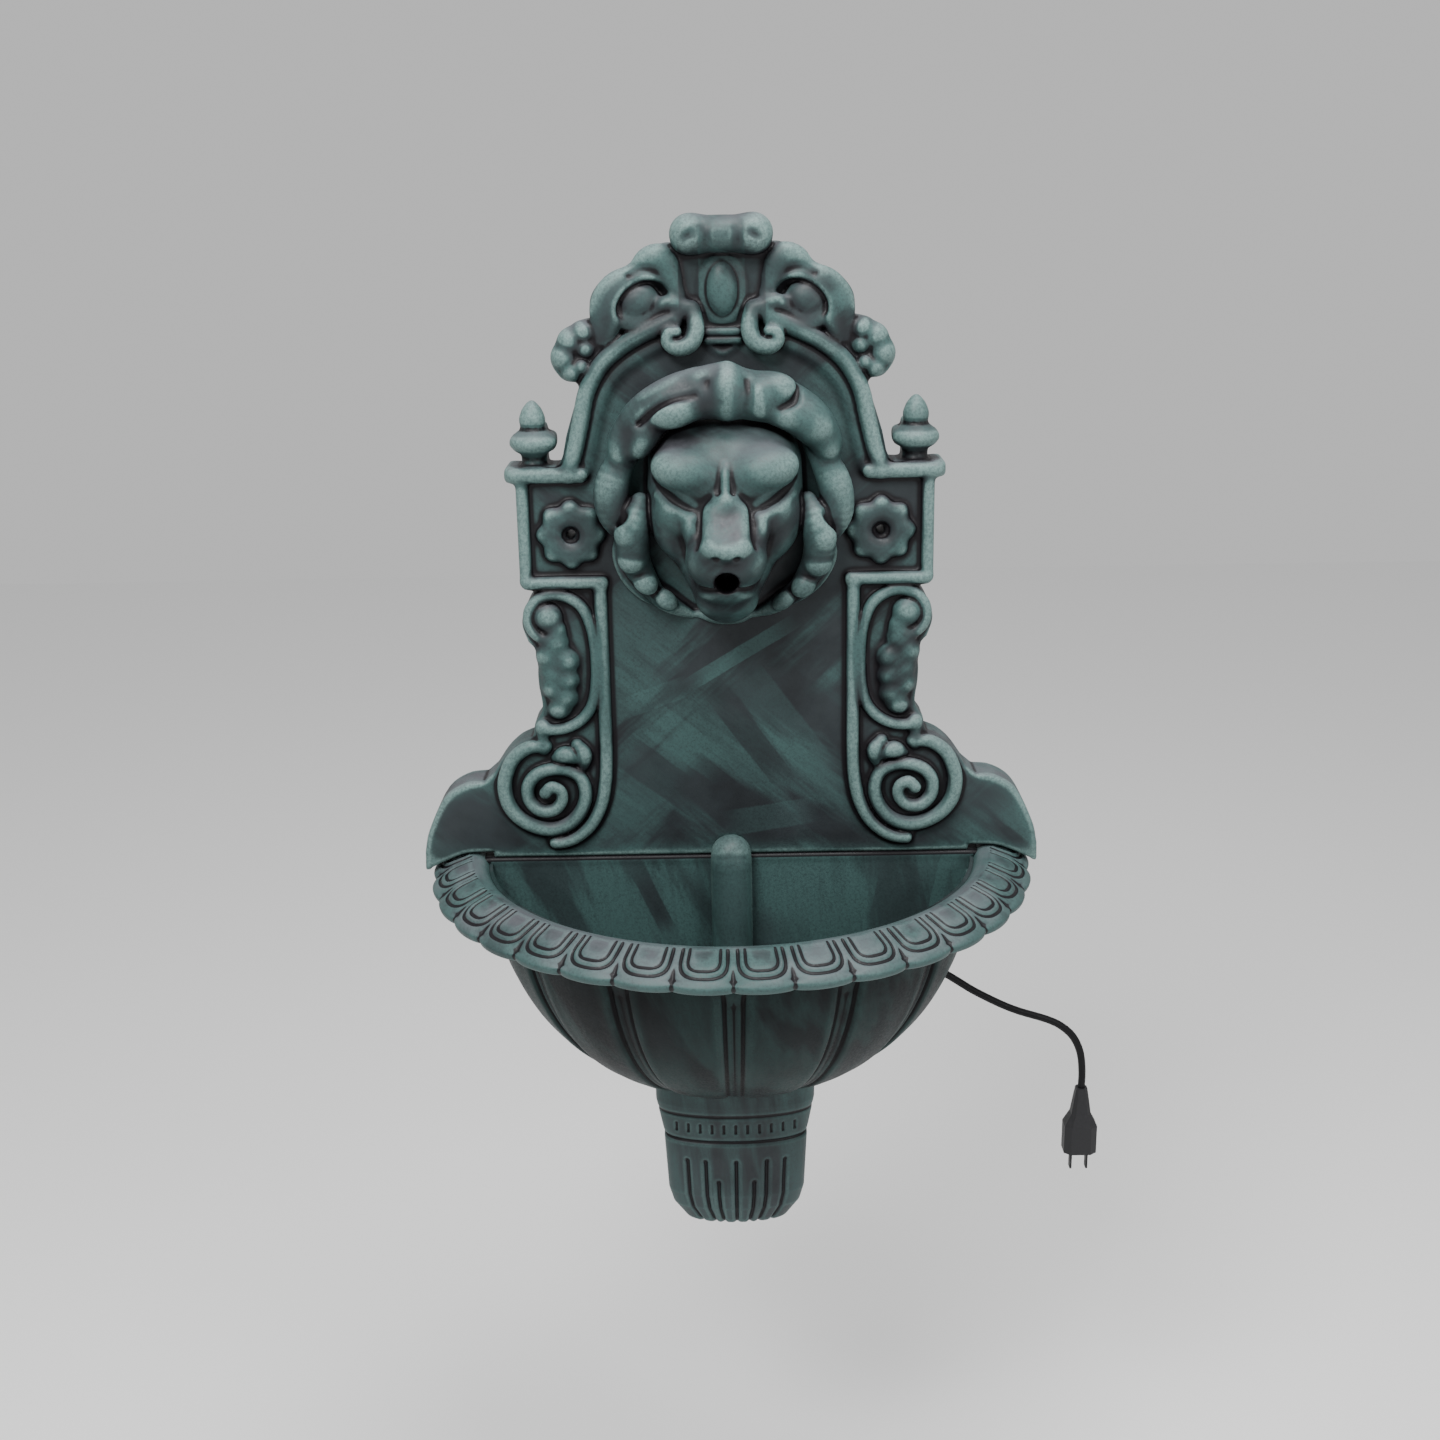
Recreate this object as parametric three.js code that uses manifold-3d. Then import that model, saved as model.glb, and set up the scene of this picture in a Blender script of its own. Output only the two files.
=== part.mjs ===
// Wall fountain: a cast wall plate with a lion mask, and a half-round basin with a drum pendant.
// Millimetres. X runs to the right, Y into the wall, Z up. The wall is the plane y = 0, and the
// origin is on it, midway between the two screw holes.
import * as THREE from 'three';
import { mergeVertices } from 'three/addons/utils/BufferGeometryUtils.js';
import Module from 'manifold-3d';

// Plate
const PLATE_WIDTH = 465;
const PLATE_RISE = 219;
const PLATE_DROP = 248;
const FIELD_DEPTH = 33;
const PLATE_WALL = 5;
const BAND_RAISE = 10;
const HEAD_REACH = 88;
const SCREW_SPACING = 222.4;
const SCREW_BORE = 6.5;
const SCREW_SINK = 12;
const SCREW_SINK_DEPTH = 6;
const ROSETTE_RADIUS = 25;
const ROSETTE_RAISE = 8;
const BOSS_RADIUS = 12;
const RIB_HEIGHT = 14;
const MOUTH_WIDTH = 17;
const MOUTH_DEPTH = 26;
const HOSE_PORT = 8;

// Basin
const RIM_RADIUS = 228;
const RIM_WIDTH = 33;
const RIM_FALL = 12;
const RIM_THICKNESS = 9;
const SCALLOP_DIP = 5;
const SCALLOP_COUNT = 18;
const TONGUE_RAISE = 2;
const RIM_STEP = 3;
const BASIN_CENTRE = 14;
const BOWL_DEPTH = 182;
const BOWL_RADIUS = 187;
const BASIN_WALL = 5;
const PANEL_RAISE = 4;
const JOINT_GAP = 0.5;
const RISER_WIDTH = 34;
const RISER_REACH = 22;
const RISER_RISE = 20;
const HOSE_BORE = 14;
const HOOK_START = 20;
const HOOK_WIDTH = 50;
const HOOK_RISE = 24;
const HOOK_THICKNESS = 4;
const PENDANT_DROP = 130.5;
const PENDANT_WIDTH = 124;
const PENDANT_SIDE = 50;
const PENDANT_CROWN = 25;

// Lead
const LEAD = 6;
const TOUCH_GAP = 0.3;
const NOTCH_WIDTH = 12;
const GROMMET_RADIUS = 6.5;
const GROMMET_FLANGE = 10;
const FLANGE_THICKNESS = 2.5;
const GROMMET_LENGTH = 24;
const COIL_RADIUS = 34;
const COIL_BAND = 24;
const COIL_THICKNESS = 13;
const POCKET_MIDDLE = 14;
const PLUG_WIDTH = 26;
const PLUG_THICKNESS = 20;
const PLUG_LENGTH = 34;

const wasm = await Module();
wasm.setup();

function toSolid(geometry) {
  const bare = geometry.clone();
  bare.deleteAttribute('normal');
  bare.deleteAttribute('uv');
  const merged = mergeVertices(bare, 1e-4);
  const vertProperties = new Float32Array(merged.attributes.position.array);
  const triVerts = new Uint32Array(merged.index.array);
  return new wasm.Manifold(new wasm.Mesh({ numProp: 3, vertProperties, triVerts }));
}

function toGeometry(solid) {
  const mesh = solid.getMesh();
  const geometry = new THREE.BufferGeometry();
  geometry.setAttribute('position', new THREE.BufferAttribute(mesh.vertProperties, 3));
  geometry.setIndex(new THREE.BufferAttribute(mesh.triVerts, 1));
  geometry.computeVertexNormals();
  return geometry;
}

function join(solids) {
  return solids.reduce((sum, next) => sum.add(next));
}

// The relief is drawn on a sheet 465 wide that reaches 219 above the screws and 248 below them,
// and stretches with the plate.
const SHEET_WIDTH = 465;
const SHEET_RISE = 219;
const SHEET_DROP = 248;

function sheetX(x) {
  return (x * PLATE_WIDTH) / SHEET_WIDTH;
}

function sheetZ(z) {
  return z > 0 ? (z * PLATE_RISE) / SHEET_RISE : (z * PLATE_DROP) / SHEET_DROP;
}

// A box from its low corner to its high corner.
function box(x0, x1, y0, y1, z0, z1) {
  const geometry = new THREE.BoxGeometry(x1 - x0, y1 - y0, z1 - z0);
  geometry.translate((x0 + x1) / 2, (y0 + y1) / 2, (z0 + z1) / 2);
  return toSolid(geometry);
}

// A flat outline in X and Z, raised from one distance off the wall to another.
function raise(shape, from, to, bevel = 0, curveSegments = 2) {
  const options = { depth: to - from - bevel, curveSegments, bevelEnabled: bevel > 0, bevelSegments: 1 };
  options.bevelSize = bevel;
  options.bevelOffset = -bevel;
  options.bevelThickness = bevel;
  const geometry = new THREE.ExtrudeGeometry(shape, options);
  geometry.rotateX(Math.PI / 2);
  geometry.translate(0, -from, 0);
  return toSolid(geometry);
}

function ellipsoid(centre, radii, tilt = 0, columns = 12, rows = 8) {
  const geometry = new THREE.SphereGeometry(1, columns, rows);
  geometry.scale(...radii);
  geometry.rotateY(tilt);
  geometry.translate(...centre);
  return toSolid(geometry);
}

// A bead or lock along a smooth line: each point is x, distance off the wall, z, half width and half
// height, and without the last the half height is lift times the half width. A section of four sides
// has a flat top of the full width unless it is ridged.
function roll(points, { lift = 1, sides = 4, steps = 12, ridged = false } = {}) {
  const line = new THREE.CatmullRomCurve3(
    points.map(([x, off, z]) => new THREE.Vector3(sheetX(x), -off, sheetZ(z))),
    false,
    'centripetal'
  );
  const sizes = points.map(([, , , width, height = width * lift]) => [width, height]);
  const sizeAt = (t, which) => {
    const at = t * (points.length - 1);
    const index = Math.min(Math.floor(at), points.length - 2);
    return THREE.MathUtils.lerp(sizes[index][which], sizes[index + 1][which], at - index);
  };
  const flat = sides === 4 && !ridged;
  const firstTurn = flat ? 0.5 : (sides % 4) / 4;
  const spread = flat ? Math.SQRT2 : 1;
  const positions = [];
  for (let step = 0; step <= steps; step += 1) {
    const t = step / steps;
    const centre = line.getPoint(t);
    const along = line.getTangent(t);
    const across = new THREE.Vector3().crossVectors(along, new THREE.Vector3(0, 1, 0)).normalize();
    const out = new THREE.Vector3().crossVectors(across, along).normalize();
    for (let side = 0; side < sides; side += 1) {
      const angle = (2 * Math.PI * (side + firstTurn)) / sides;
      const place = centre.clone();
      place.addScaledVector(across, spread * sizeAt(t, 0) * Math.cos(angle));
      place.addScaledVector(out, spread * sizeAt(t, 1) * Math.sin(angle));
      positions.push(place.x, place.y, place.z);
    }
  }
  const index = [];
  for (let step = 0; step < steps; step += 1) {
    for (let side = 0; side < sides; side += 1) {
      const a = step * sides + side;
      const b = step * sides + ((side + 1) % sides);
      index.push(a, a + sides, b, b, a + sides, b + sides);
    }
  }
  const last = steps * sides;
  for (let side = 1; side < sides - 1; side += 1) {
    index.push(0, side, side + 1);
    index.push(last, last + side + 1, last + side);
  }
  const geometry = new THREE.BufferGeometry();
  geometry.setAttribute('position', new THREE.Float32BufferAttribute(positions, 3));
  geometry.setIndex(index);
  return toSolid(geometry);
}

// The same ornament on both sides of the middle.
function bothSides(solid) {
  const geometry = toGeometry(solid);
  geometry.scale(-1, 1, 1);
  const index = geometry.index.array;
  for (let corner = 0; corner < index.length; corner += 3) {
    [index[corner], index[corner + 1]] = [index[corner + 1], index[corner]];
  }
  return solid.add(toSolid(geometry));
}

// A closed skin over level rings of equal count, each ring running counterclockwise seen from above
// and the rings running upwards.
function loft(rings) {
  const count = rings[0].length;
  const positions = rings.flat().flat();
  const index = [];
  for (let level = 0; level < rings.length - 1; level += 1) {
    for (let side = 0; side < count; side += 1) {
      const a = level * count + side;
      const b = level * count + ((side + 1) % count);
      index.push(a, b, a + count, b, b + count, a + count);
    }
  }
  const top = (rings.length - 1) * count;
  for (let side = 1; side < count - 1; side += 1) {
    index.push(0, side + 1, side);
    index.push(top, top + side, top + side + 1);
  }
  const geometry = new THREE.BufferGeometry();
  geometry.setAttribute('position', new THREE.Float32BufferAttribute(positions, 3));
  geometry.setIndex(index);
  return toSolid(geometry);
}

// A round body about an upright line on the basin's centre: the profile runs upwards as radius and
// height, and swell may change the radius at each angle.
function turned(profile, angles, swell = (radius) => radius) {
  return loft(
    profile.map(([radius, z]) =>
      angles.map((angle) => {
        const reach = swell(radius, angle, z);
        return [reach * Math.sin(angle), -BASIN_CENTRE - reach * Math.cos(angle), z];
      })
    )
  );
}

// An upright or level round bar between two points.
function bar(from, to, radius, sides = 16) {
  const a = new THREE.Vector3(...from);
  const b = new THREE.Vector3(...to);
  const geometry = new THREE.CylinderGeometry(radius, radius, a.distanceTo(b), sides);
  const turn = new THREE.Quaternion().setFromUnitVectors(
    new THREE.Vector3(0, 1, 0),
    b.clone().sub(a).normalize()
  );
  geometry.applyQuaternion(turn);
  const middle = a.add(b).multiplyScalar(0.5);
  geometry.translate(middle.x, middle.y, middle.z);
  return toSolid(geometry);
}

// Plate body. Each run of the outline's right half is a smooth curve, and the runs meet in corners.
const RIM_NOTCH_X = 180;
const RIM_NOTCH_Z = -SHEET_DROP + RIM_STEP + JOINT_GAP + TONGUE_RAISE / 2;
const TAB_WIDTH = 3.5;
const TAB_Z = -255;
const HALF_OUTLINE = [
  [[0, -SHEET_DROP], [RIM_NOTCH_X, -SHEET_DROP]],
  [[RIM_NOTCH_X, RIM_NOTCH_Z], [SHEET_WIDTH / 2 - TAB_WIDTH, RIM_NOTCH_Z]],
  [[SHEET_WIDTH / 2 - TAB_WIDTH, TAB_Z], [SHEET_WIDTH / 2, TAB_Z]],
  [[SHEET_WIDTH / 2 - 0.5, -243], [228, -226], [215, -200], [199, -189], [184, -187]],
  [[176, -180], [167, -167], [157, -158], [146, -153]],
  [[144, -142], [138, -132], [139, -118], [140, -106], [138, -88]],
  [[146, -80], [150, -66], [146, -52], [139, -42]],
  [[148, -42], [149, 34], [156, 42], [156, 48]],
  [[118, 48], [115, 56]],
  [[112, 70], [107, 86], [101, 103]],
  [[104, 109], [113, 110], [119.5, 120], [117, 134], [106, 146], [96, 149.5]],
  [[91, 150], [91, 166], [80, 179], [62, 185], [52, 192], [42, 200], [32, 200.5]],
  [[26, 196], [31, 203], [32, 212], [25, 219], [15, 219]],
  [[13, 217], [0, 217.5]],
];

function plateOutline() {
  const right = [];
  HALF_OUTLINE.forEach((run) => {
    const points = run.map(([x, z]) => new THREE.Vector2(sheetX(x), sheetZ(z)));
    const steps = Math.round(points.length * 1.4);
    right.push(...(points.length > 2 ? new THREE.SplineCurve(points).getPoints(steps) : points));
  });
  const left = right.map((point) => new THREE.Vector2(-point.x, point.y)).reverse();
  return new THREE.Shape([...right.slice(1, -1), right.at(-1), ...left.slice(1, -1)]);
}

// Hollow behind the plate: the middle, the arch and the two shoulders, each a wall in from the edge.
function plateHollow() {
  const back = PLATE_WALL;
  const front = -(FIELD_DEPTH - PLATE_WALL);
  const middle = box(
    -sheetX(132), sheetX(132), front, back, -PLATE_DROP + PLATE_WALL, sheetZ(34)
  );
  const sides = [-1, 1].map((side) => {
    const inner = side * sheetX(120);
    const outer = side * (sheetX(216) - PLATE_WALL);
    return box(
      Math.min(inner, outer), Math.max(inner, outer), front, back,
      sheetZ(RIM_NOTCH_Z) + PLATE_WALL, sheetZ(-202)
    );
  });
  const arch = new THREE.Shape();
  arch.moveTo(-sheetX(104), sheetZ(30));
  arch.lineTo(sheetX(104), sheetZ(30));
  arch.quadraticCurveTo(sheetX(104), sheetZ(130), sheetX(52), sheetZ(172));
  arch.lineTo(-sheetX(52), sheetZ(172));
  arch.quadraticCurveTo(-sheetX(104), sheetZ(130), -sheetX(104), sheetZ(30));
  return join([middle, ...sides, raise(arch, -back, -front, 0, 5)]);
}

const FIELD = FIELD_DEPTH;
const BAND = FIELD_DEPTH + BAND_RAISE;

function archBand() {
  const edging = (points) => roll(points, { steps: 8, lift: 2.4 });
  const outer = edging([
    [110, FIELD, 44, 3.8], [105, FIELD, 60, 3.8], [100, FIELD, 80, 3.8], [95, FIELD, 104, 3.8],
    [84, FIELD, 121, 3.8], [70, FIELD, 133, 3.8], [52, FIELD, 142, 3.8], [36, FIELD, 147, 3.8],
  ]);
  const inner = edging([
    [98, FIELD, 44, 3], [94, FIELD, 60, 3], [89, FIELD, 80, 3], [84, FIELD, 100, 3],
    [74, FIELD, 114, 3], [61, FIELD, 124, 3], [46, FIELD, 132, 3], [34, FIELD, 137, 3],
  ]);
  return outer.add(inner);
}

function crestSide() {
  const leaf = (points, options) => roll(points, { lift: 1.2, steps: 5, sides: 5, ...options });
  const upperLeaf = leaf([
    [57, FIELD, 183, 5], [47, FIELD + 3, 191, 7], [37, FIELD + 4, 192, 8], [29, FIELD + 3, 184, 8],
    [24, FIELD + 2, 172, 6], [19, FIELD, 154, 4],
  ]);
  const outerLeaf = leaf([
    [52, FIELD, 180, 5], [66, FIELD + 2, 177, 8], [78, FIELD + 2, 168, 9], [82, FIELD + 1, 155, 8],
    [86, FIELD, 143, 6], [90, FIELD, 134, 4],
  ]);
  const volute = leaf([
    [20, FIELD, 156, 4], [23, FIELD + 3, 146, 5], [26, FIELD + 4, 137, 5], [32, FIELD + 4, 134, 5],
    [37, FIELD + 4, 138, 4], [34, FIELD + 4, 142, 3],
  ], { steps: 5, sides: 4, ridged: true });
  const tongue = leaf([
    [46, FIELD, 150, 4], [56, FIELD + 3, 146, 6], [69, FIELD + 2, 146, 6], [78, FIELD, 152, 4],
  ], { steps: 3 });
  const buds = [
    [57, 162, 12], [39, 160, 8], [99, 139, 9], [110, 130, 10], [106, 118, 8],
  ];
  const leaves = buds.map(([x, z, size]) =>
    ellipsoid([sheetX(x), -FIELD, sheetZ(z)], [size, size, size], 0, 5, 4)
  );
  return join([upperLeaf, outerLeaf, volute, tongue, ...leaves]);
}

function crestMiddle() {
  const lobes = bothSides(ellipsoid([sheetX(21), -FIELD - 4, sheetZ(207.5)], [11.5, 13, 12], 0, 7, 5));
  const capBand = roll([[-18, FIELD + 2, 207, 10], [18, FIELD + 2, 207, 10]], { steps: 1, sides: 6 });
  const ring = new THREE.Shape();
  ring.absellipse(0, sheetZ(170), sheetX(11), sheetZ(178) - sheetZ(160), 0, 2 * Math.PI);
  const disc = raise(ring, FIELD - 2, FIELD + 6, 2, 5);
  const cabochon = ellipsoid([0, -FIELD - 5, sheetZ(170)], [8, 6, 14], 0, 7, 5);
  const upperBar = roll([[-15, FIELD, 141, 3], [15, FIELD, 141, 3]], { steps: 1, lift: 2 });
  const lowerBar = roll([[-12, FIELD, 134.5, 3], [12, FIELD, 134.5, 3]], { steps: 1, lift: 1.6 });
  return join([lobes, capBand, disc, cabochon, upperBar, lowerBar]);
}

// Finial, capital, block and rosette on the right side.
function finial() {
  const heights = [44, 48, 53, 61, 67, 72, 78, 87, 94];
  const radii = [12, 11, 7, 16, 17, 9, 9, 7, 2];
  const profile = [new THREE.Vector2(0, 0)];
  heights.forEach((height, index) => profile.push(new THREE.Vector2(radii[index], height - heights[0])));
  profile.push(new THREE.Vector2(0, heights.at(-1) - heights[0]));
  const geometry = new THREE.LatheGeometry(profile, 7);
  geometry.rotateX(Math.PI / 2);
  geometry.translate(sheetX(136), -FIELD_DEPTH + 6, sheetZ(heights[0]));
  const backing = new THREE.Shape();
  backing.moveTo(-11, heights[0]);
  backing.lineTo(11, heights[0]);
  backing.lineTo(6, 53);
  backing.lineTo(15, 62);
  backing.lineTo(9, 73);
  backing.lineTo(6, 88);
  backing.lineTo(-6, 88);
  backing.lineTo(-9, 73);
  backing.lineTo(-15, 62);
  backing.lineTo(-6, 53);
  const slab = raise(backing, 0, FIELD_DEPTH - 8);
  return toSolid(geometry).add(slab.translate([sheetX(136), 0, sheetZ(heights[0]) - heights[0]]));
}

function capitalAndBlock() {
  const lip = new THREE.Shape();
  lip.moveTo(sheetX(98), sheetZ(36));
  lip.lineTo(sheetX(149), sheetZ(34));
  lip.lineTo(sheetX(156), sheetZ(41));
  lip.lineTo(sheetX(156), sheetZ(48));
  lip.lineTo(sheetX(98), sheetZ(48));
  const capital = raise(lip, 0, BAND + 2, 1.5);
  const upright = box(sheetX(141), sheetX(148), -BAND, -FIELD + 3, sheetZ(-41), sheetZ(36));
  const foot = box(sheetX(87), sheetX(148), -BAND, -FIELD + 3, sheetZ(-41), sheetZ(-31));
  return join([capital, upright, foot]);
}

const SCREW_X = SCREW_SPACING / 2;

function rosette() {
  const flower = new THREE.Shape();
  const petals = 8;
  for (let point = 0; point < petals * 2; point += 1) {
    const angle = (2 * Math.PI * point) / (petals * 2);
    const reach = ROSETTE_RADIUS * (point % 2 === 0 ? 0.8 : 1);
    const place = [SCREW_X + reach * Math.sin(angle), reach * Math.cos(angle)];
    flower[point === 0 ? 'moveTo' : 'lineTo'](...place);
  }
  return raise(flower, FIELD - 2, FIELD + ROSETTE_RAISE, 4);
}

// Scroll panel on the right side: the edge bead, the upper scroll, the leaf string and the volute.
function scrollPanel() {
  const bead = roll([
    [91, FIELD, -36, 5], [91.5, FIELD, -80, 5], [91.5, FIELD, -125, 5], [91.5, FIELD, -165, 5],
    [92.5, FIELD, -188, 5], [96, FIELD, -206, 5], [103, FIELD, -221, 5], [114, FIELD, -232, 4],
    [128, FIELD, -235, 2],
  ], { steps: 6, lift: 2 });
  const upperScroll = roll([
    [137, FIELD, -143, 3], [121, FIELD, -144, 4], [108, FIELD, -137, 4], [100, FIELD, -125, 4],
    [97, FIELD, -110, 4], [97, FIELD, -84, 4], [99, FIELD, -66, 4], [106, FIELD, -52, 4],
    [118, FIELD, -45, 4], [132, FIELD, -45.5, 4], [142, FIELD, -54, 4], [143, FIELD, -65, 4],
    [136, FIELD, -74, 3],
  ], { steps: 12, lift: 2 });
  const volute = roll([
    [138, FIELD, -159, 5], [151, FIELD, -160, 5], [161, FIELD, -168, 5], [167, FIELD, -180, 5.5],
    [168, FIELD, -194, 5.5], [163, FIELD, -209, 5.5], [151, FIELD, -220, 5.5], [136, FIELD, -223, 5.5],
    [121, FIELD, -218, 5.5], [111, FIELD, -206, 5], [109, FIELD, -191, 5], [115, FIELD, -181, 4.5],
    [129, FIELD, -178, 4.5], [142, FIELD, -181, 4.5], [149, FIELD, -190, 4.5], [147, FIELD, -202, 4],
    [137, FIELD, -208, 4], [127, FIELD, -202, 4], [127, FIELD, -193, 4], [133, FIELD, -189, 3.5],
  ], { steps: 19, lift: 1.7 });
  const stub = roll([[135, FIELD, -140, 4], [136, FIELD, -163, 5]], { steps: 1, lift: 1.6 });
  const berries = [
    [129, -62, 10], [128, -81, 10], [121, -97, 10], [128, -111, 9], [124, -125, 9], [114, -162, 9],
  ];
  const leaves = berries.map(([x, z, size]) =>
    ellipsoid([sheetX(x), -FIELD, sheetZ(z)], [size, size, size], 0, 5, 4)
  );
  return join([bead, upperScroll, volute, stub, ...leaves]);
}

// Lion mask. Every distance off the wall is the field plus a share of the head's reach.
function headY(share) {
  return -(FIELD_DEPTH + share * HEAD_REACH);
}

function headMass(x, share, z, radii, tilt = 0, columns = 12, rows = 8) {
  const [wide, reach, high] = radii;
  const deep = reach * HEAD_REACH;
  return ellipsoid([sheetX(x), headY(share), sheetZ(z)], [wide, deep, high], tilt, columns, rows);
}

// A lock of the mane rises from the field to its share of the head's reach, and a ridge of the face
// keeps its own thickness.
function lock(points, options) {
  const placed = points.map(([x, share, z, width]) => [
    x, FIELD_DEPTH - 2, z, width, share * HEAD_REACH + width,
  ]);
  return roll(placed, { steps: 3, ridged: true, ...options });
}

function ridge(points, options) {
  const placed = points.map(([x, share, z, width]) => [x, -headY(share), z, width]);
  return roll(placed, options);
}

function face() {
  const middle = [
    headMass(0, 0.05, 44, [55, 0.48, 38], 0, 12, 8),
    headMass(0, 0.08, 6, [45, 0.52, 58], 0, 12, 8),
    headMass(0, 0.62, -9, [27, 0.30, 23], 0, 10, 6),
    headMass(0, 0.46, -37, [25, 0.22, 12], 0, 8, 6),
    ridge(
      [[0, 0.50, 38, 10], [0, 0.66, 26, 11], [0, 0.80, 12, 11], [0, 0.88, 3, 11]], { lift: 0.7, steps: 3 }
    ),
    headMass(0, 0.90, 2, [16, 0.11, 8], 0, 8, 4),
  ];
  const side = [
    headMass(23, 0.36, 49, [22, 0.26, 16], 0.25, 8, 6),
    headMass(18, 0.62, -7, [15, 0.26, 16], 0, 6, 6),
    headMass(32, 0.28, 14, [14, 0.25, 20], 0.3, 6, 6),
  ];
  const slit = ridge([[19, 0.62, 25, 2], [31, 0.56, 30, 3.5], [43, 0.44, 38, 2]], { steps: 2 });
  const furrow = ridge([[0, 0.68, 36, 2], [0, 0.62, 52, 2.5], [0, 0.56, 60, 1]], { steps: 2 });
  return join(middle).add(bothSides(join(side))).subtract(bothSides(slit)).subtract(furrow);
}

function mane() {
  const crown = [
    [[1, 0.20, 116, 8], [1, 0.34, 107, 15], [2, 0.30, 93, 13]],
    [[-8, 0.28, 103, 14], [-28, 0.30, 99, 16], [-46, 0.24, 91, 15], [-58, 0.16, 82, 9]],
    [[12, 0.28, 104, 13], [30, 0.30, 100, 15], [45, 0.26, 94, 14], [54, 0.16, 86, 8]],
    [[-44, 0.20, 86, 10], [-60, 0.24, 82, 15], [-70, 0.16, 68, 13], [-68, 0.10, 54, 8]],
    [[42, 0.20, 86, 10], [58, 0.24, 83, 15], [69, 0.18, 72, 14], [70, 0.10, 57, 8]],
  ];
  const temples = [
    [[66, 0.06, 54, 7], [75, 0.16, 38, 12], [76, 0.16, 18, 12], [70, 0.08, 0, 8]],
    [[58, 0.10, 20, 7], [63, 0.18, 4, 12], [62, 0.18, -14, 12], [52, 0.10, -32, 9]],
    [[70, 0.06, 2, 7], [70, 0.10, -12, 9], [61, 0.10, -32, 9], [48, 0.05, -46, 6]],
    [[52, 0.08, -26, 8], [42, 0.12, -44, 10], [27, 0.10, -56, 9], [12, 0.06, -63, 6]],
  ];
  const locks = [
    ...crown.map((points) => lock(points, { sides: 5 })),
    bothSides(join(temples.map((points) => lock(points, {})))),
  ];
  const base = headMass(0, -0.02, 24, [84, 0.22, 92], 0, 12, 6);
  return join([base, ...locks]);
}

function backPlate() {
  const body = raise(plateOutline(), 0, FIELD_DEPTH);
  const wallSide = box(
    -PLATE_WIDTH, PLATE_WIDTH, 0, HEAD_REACH, -2 * PLATE_DROP, 2 * PLATE_RISE
  );
  const rightSide = join([archBand(), crestSide(), finial(), capitalAndBlock(), rosette(), scrollPanel()]);
  const relief = join([bothSides(rightSide), crestMiddle(), mane(), face()]);
  const headHollow = headMass(0, 0, 12, [44, 0.38, 62], 0, 10, 6);
  const screwBores = [-1, 1].map((side) => {
    const inFront = [side * SCREW_X, -BAND * 2, 0];
    const sinkFloor = [side * SCREW_X, -(FIELD + ROSETTE_RAISE - SCREW_SINK_DEPTH), 0];
    const through = bar(inFront, [side * SCREW_X, BAND, 0], SCREW_BORE / 2, 12);
    return through.add(bar(inFront, sinkFloor, SCREW_SINK / 2, 12));
  });
  const bosses = [-1, 1].map((side) =>
    bar([side * SCREW_X, -FIELD, 0], [side * SCREW_X, 0, 0], BOSS_RADIUS, 12)
  );
  const rib = box(-SCREW_X, SCREW_X, -PLATE_WALL, 0, -RIB_HEIGHT / 2, RIB_HEIGHT / 2);
  const mouthZ = sheetZ(-21);
  const mouthFront = headY(0.88);
  const mouthBack = mouthFront + MOUTH_DEPTH;
  const mouth = bar([0, mouthBack, mouthZ], [0, headY(1.2), mouthZ - 3], MOUTH_WIDTH / 2, 12);
  const port = bar([0, headY(0.2), mouthZ + 12], [0, mouthBack - 2, mouthZ + 2], HOSE_PORT / 2, 8);
  const hoseSlot = box(
    -HOSE_BORE / 2, HOSE_BORE / 2, -FIELD_DEPTH - PLATE_WALL, -FIELD_DEPTH + 2 * PLATE_WALL,
    -PLATE_DROP - PLATE_WALL, -PLATE_DROP + HOSE_BORE
  );
  const hookSlots = bothSides(box(
    HOOK_START - JOINT_GAP, HOOK_START + HOOK_WIDTH + JOINT_GAP, -FIELD_DEPTH + PLATE_WALL,
    -FIELD_DEPTH + PLATE_WALL + HOOK_THICKNESS + 2 * JOINT_GAP, -PLATE_DROP - 1, -PLATE_DROP + PLATE_WALL + 1
  ));
  const shell = join([body, relief]).subtract(wallSide).subtract(plateHollow()).subtract(headHollow);
  const cuts = join([...screwBores, mouth, port, hoseSlot, hookSlots]);
  return join([shell, ...bosses, rib]).subtract(cuts);
}

// Basin. Its heights are all tied to the joint under the plate.
const JOINT_Z = -PLATE_DROP - JOINT_GAP;
const RIM_INNER = RIM_RADIUS - RIM_WIDTH;
const RIM_TOP_Z = JOINT_Z + RIM_STEP;
const BOWL_FLOOR_Z = JOINT_Z - BOWL_DEPTH;
const FULL_TURN = 2 * Math.PI;
const TONGUE_PITCH = (Math.PI * 1.043) / SCALLOP_COUNT;

function evenAngles(count) {
  return Array.from({ length: count }, (_, index) => (FULL_TURN * index) / count);
}

// Each scallop of the rim has its cusp and the two edges of its tongue. The hidden back
// of the ring is plain.
const SCALLOP_STEPS = [0, 0.25, 0.75];

function scallopAngles() {
  const half = TONGUE_PITCH * (SCALLOP_COUNT / 2);
  const front = [];
  for (let scallop = 0; scallop < SCALLOP_COUNT; scallop += 1) {
    front.push(...SCALLOP_STEPS.map((share) => (scallop + share) * TONGUE_PITCH - half));
  }
  const back = [0.25, 0.5, 0.75].map((share) => half + share * (FULL_TURN - 2 * half));
  return [...front, half, ...back];
}

function tongueShare(angle) {
  const share = angle / TONGUE_PITCH - Math.floor(angle / TONGUE_PITCH);
  return share > 0.2 && share < 0.8 ? 1 : 0;
}

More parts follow.
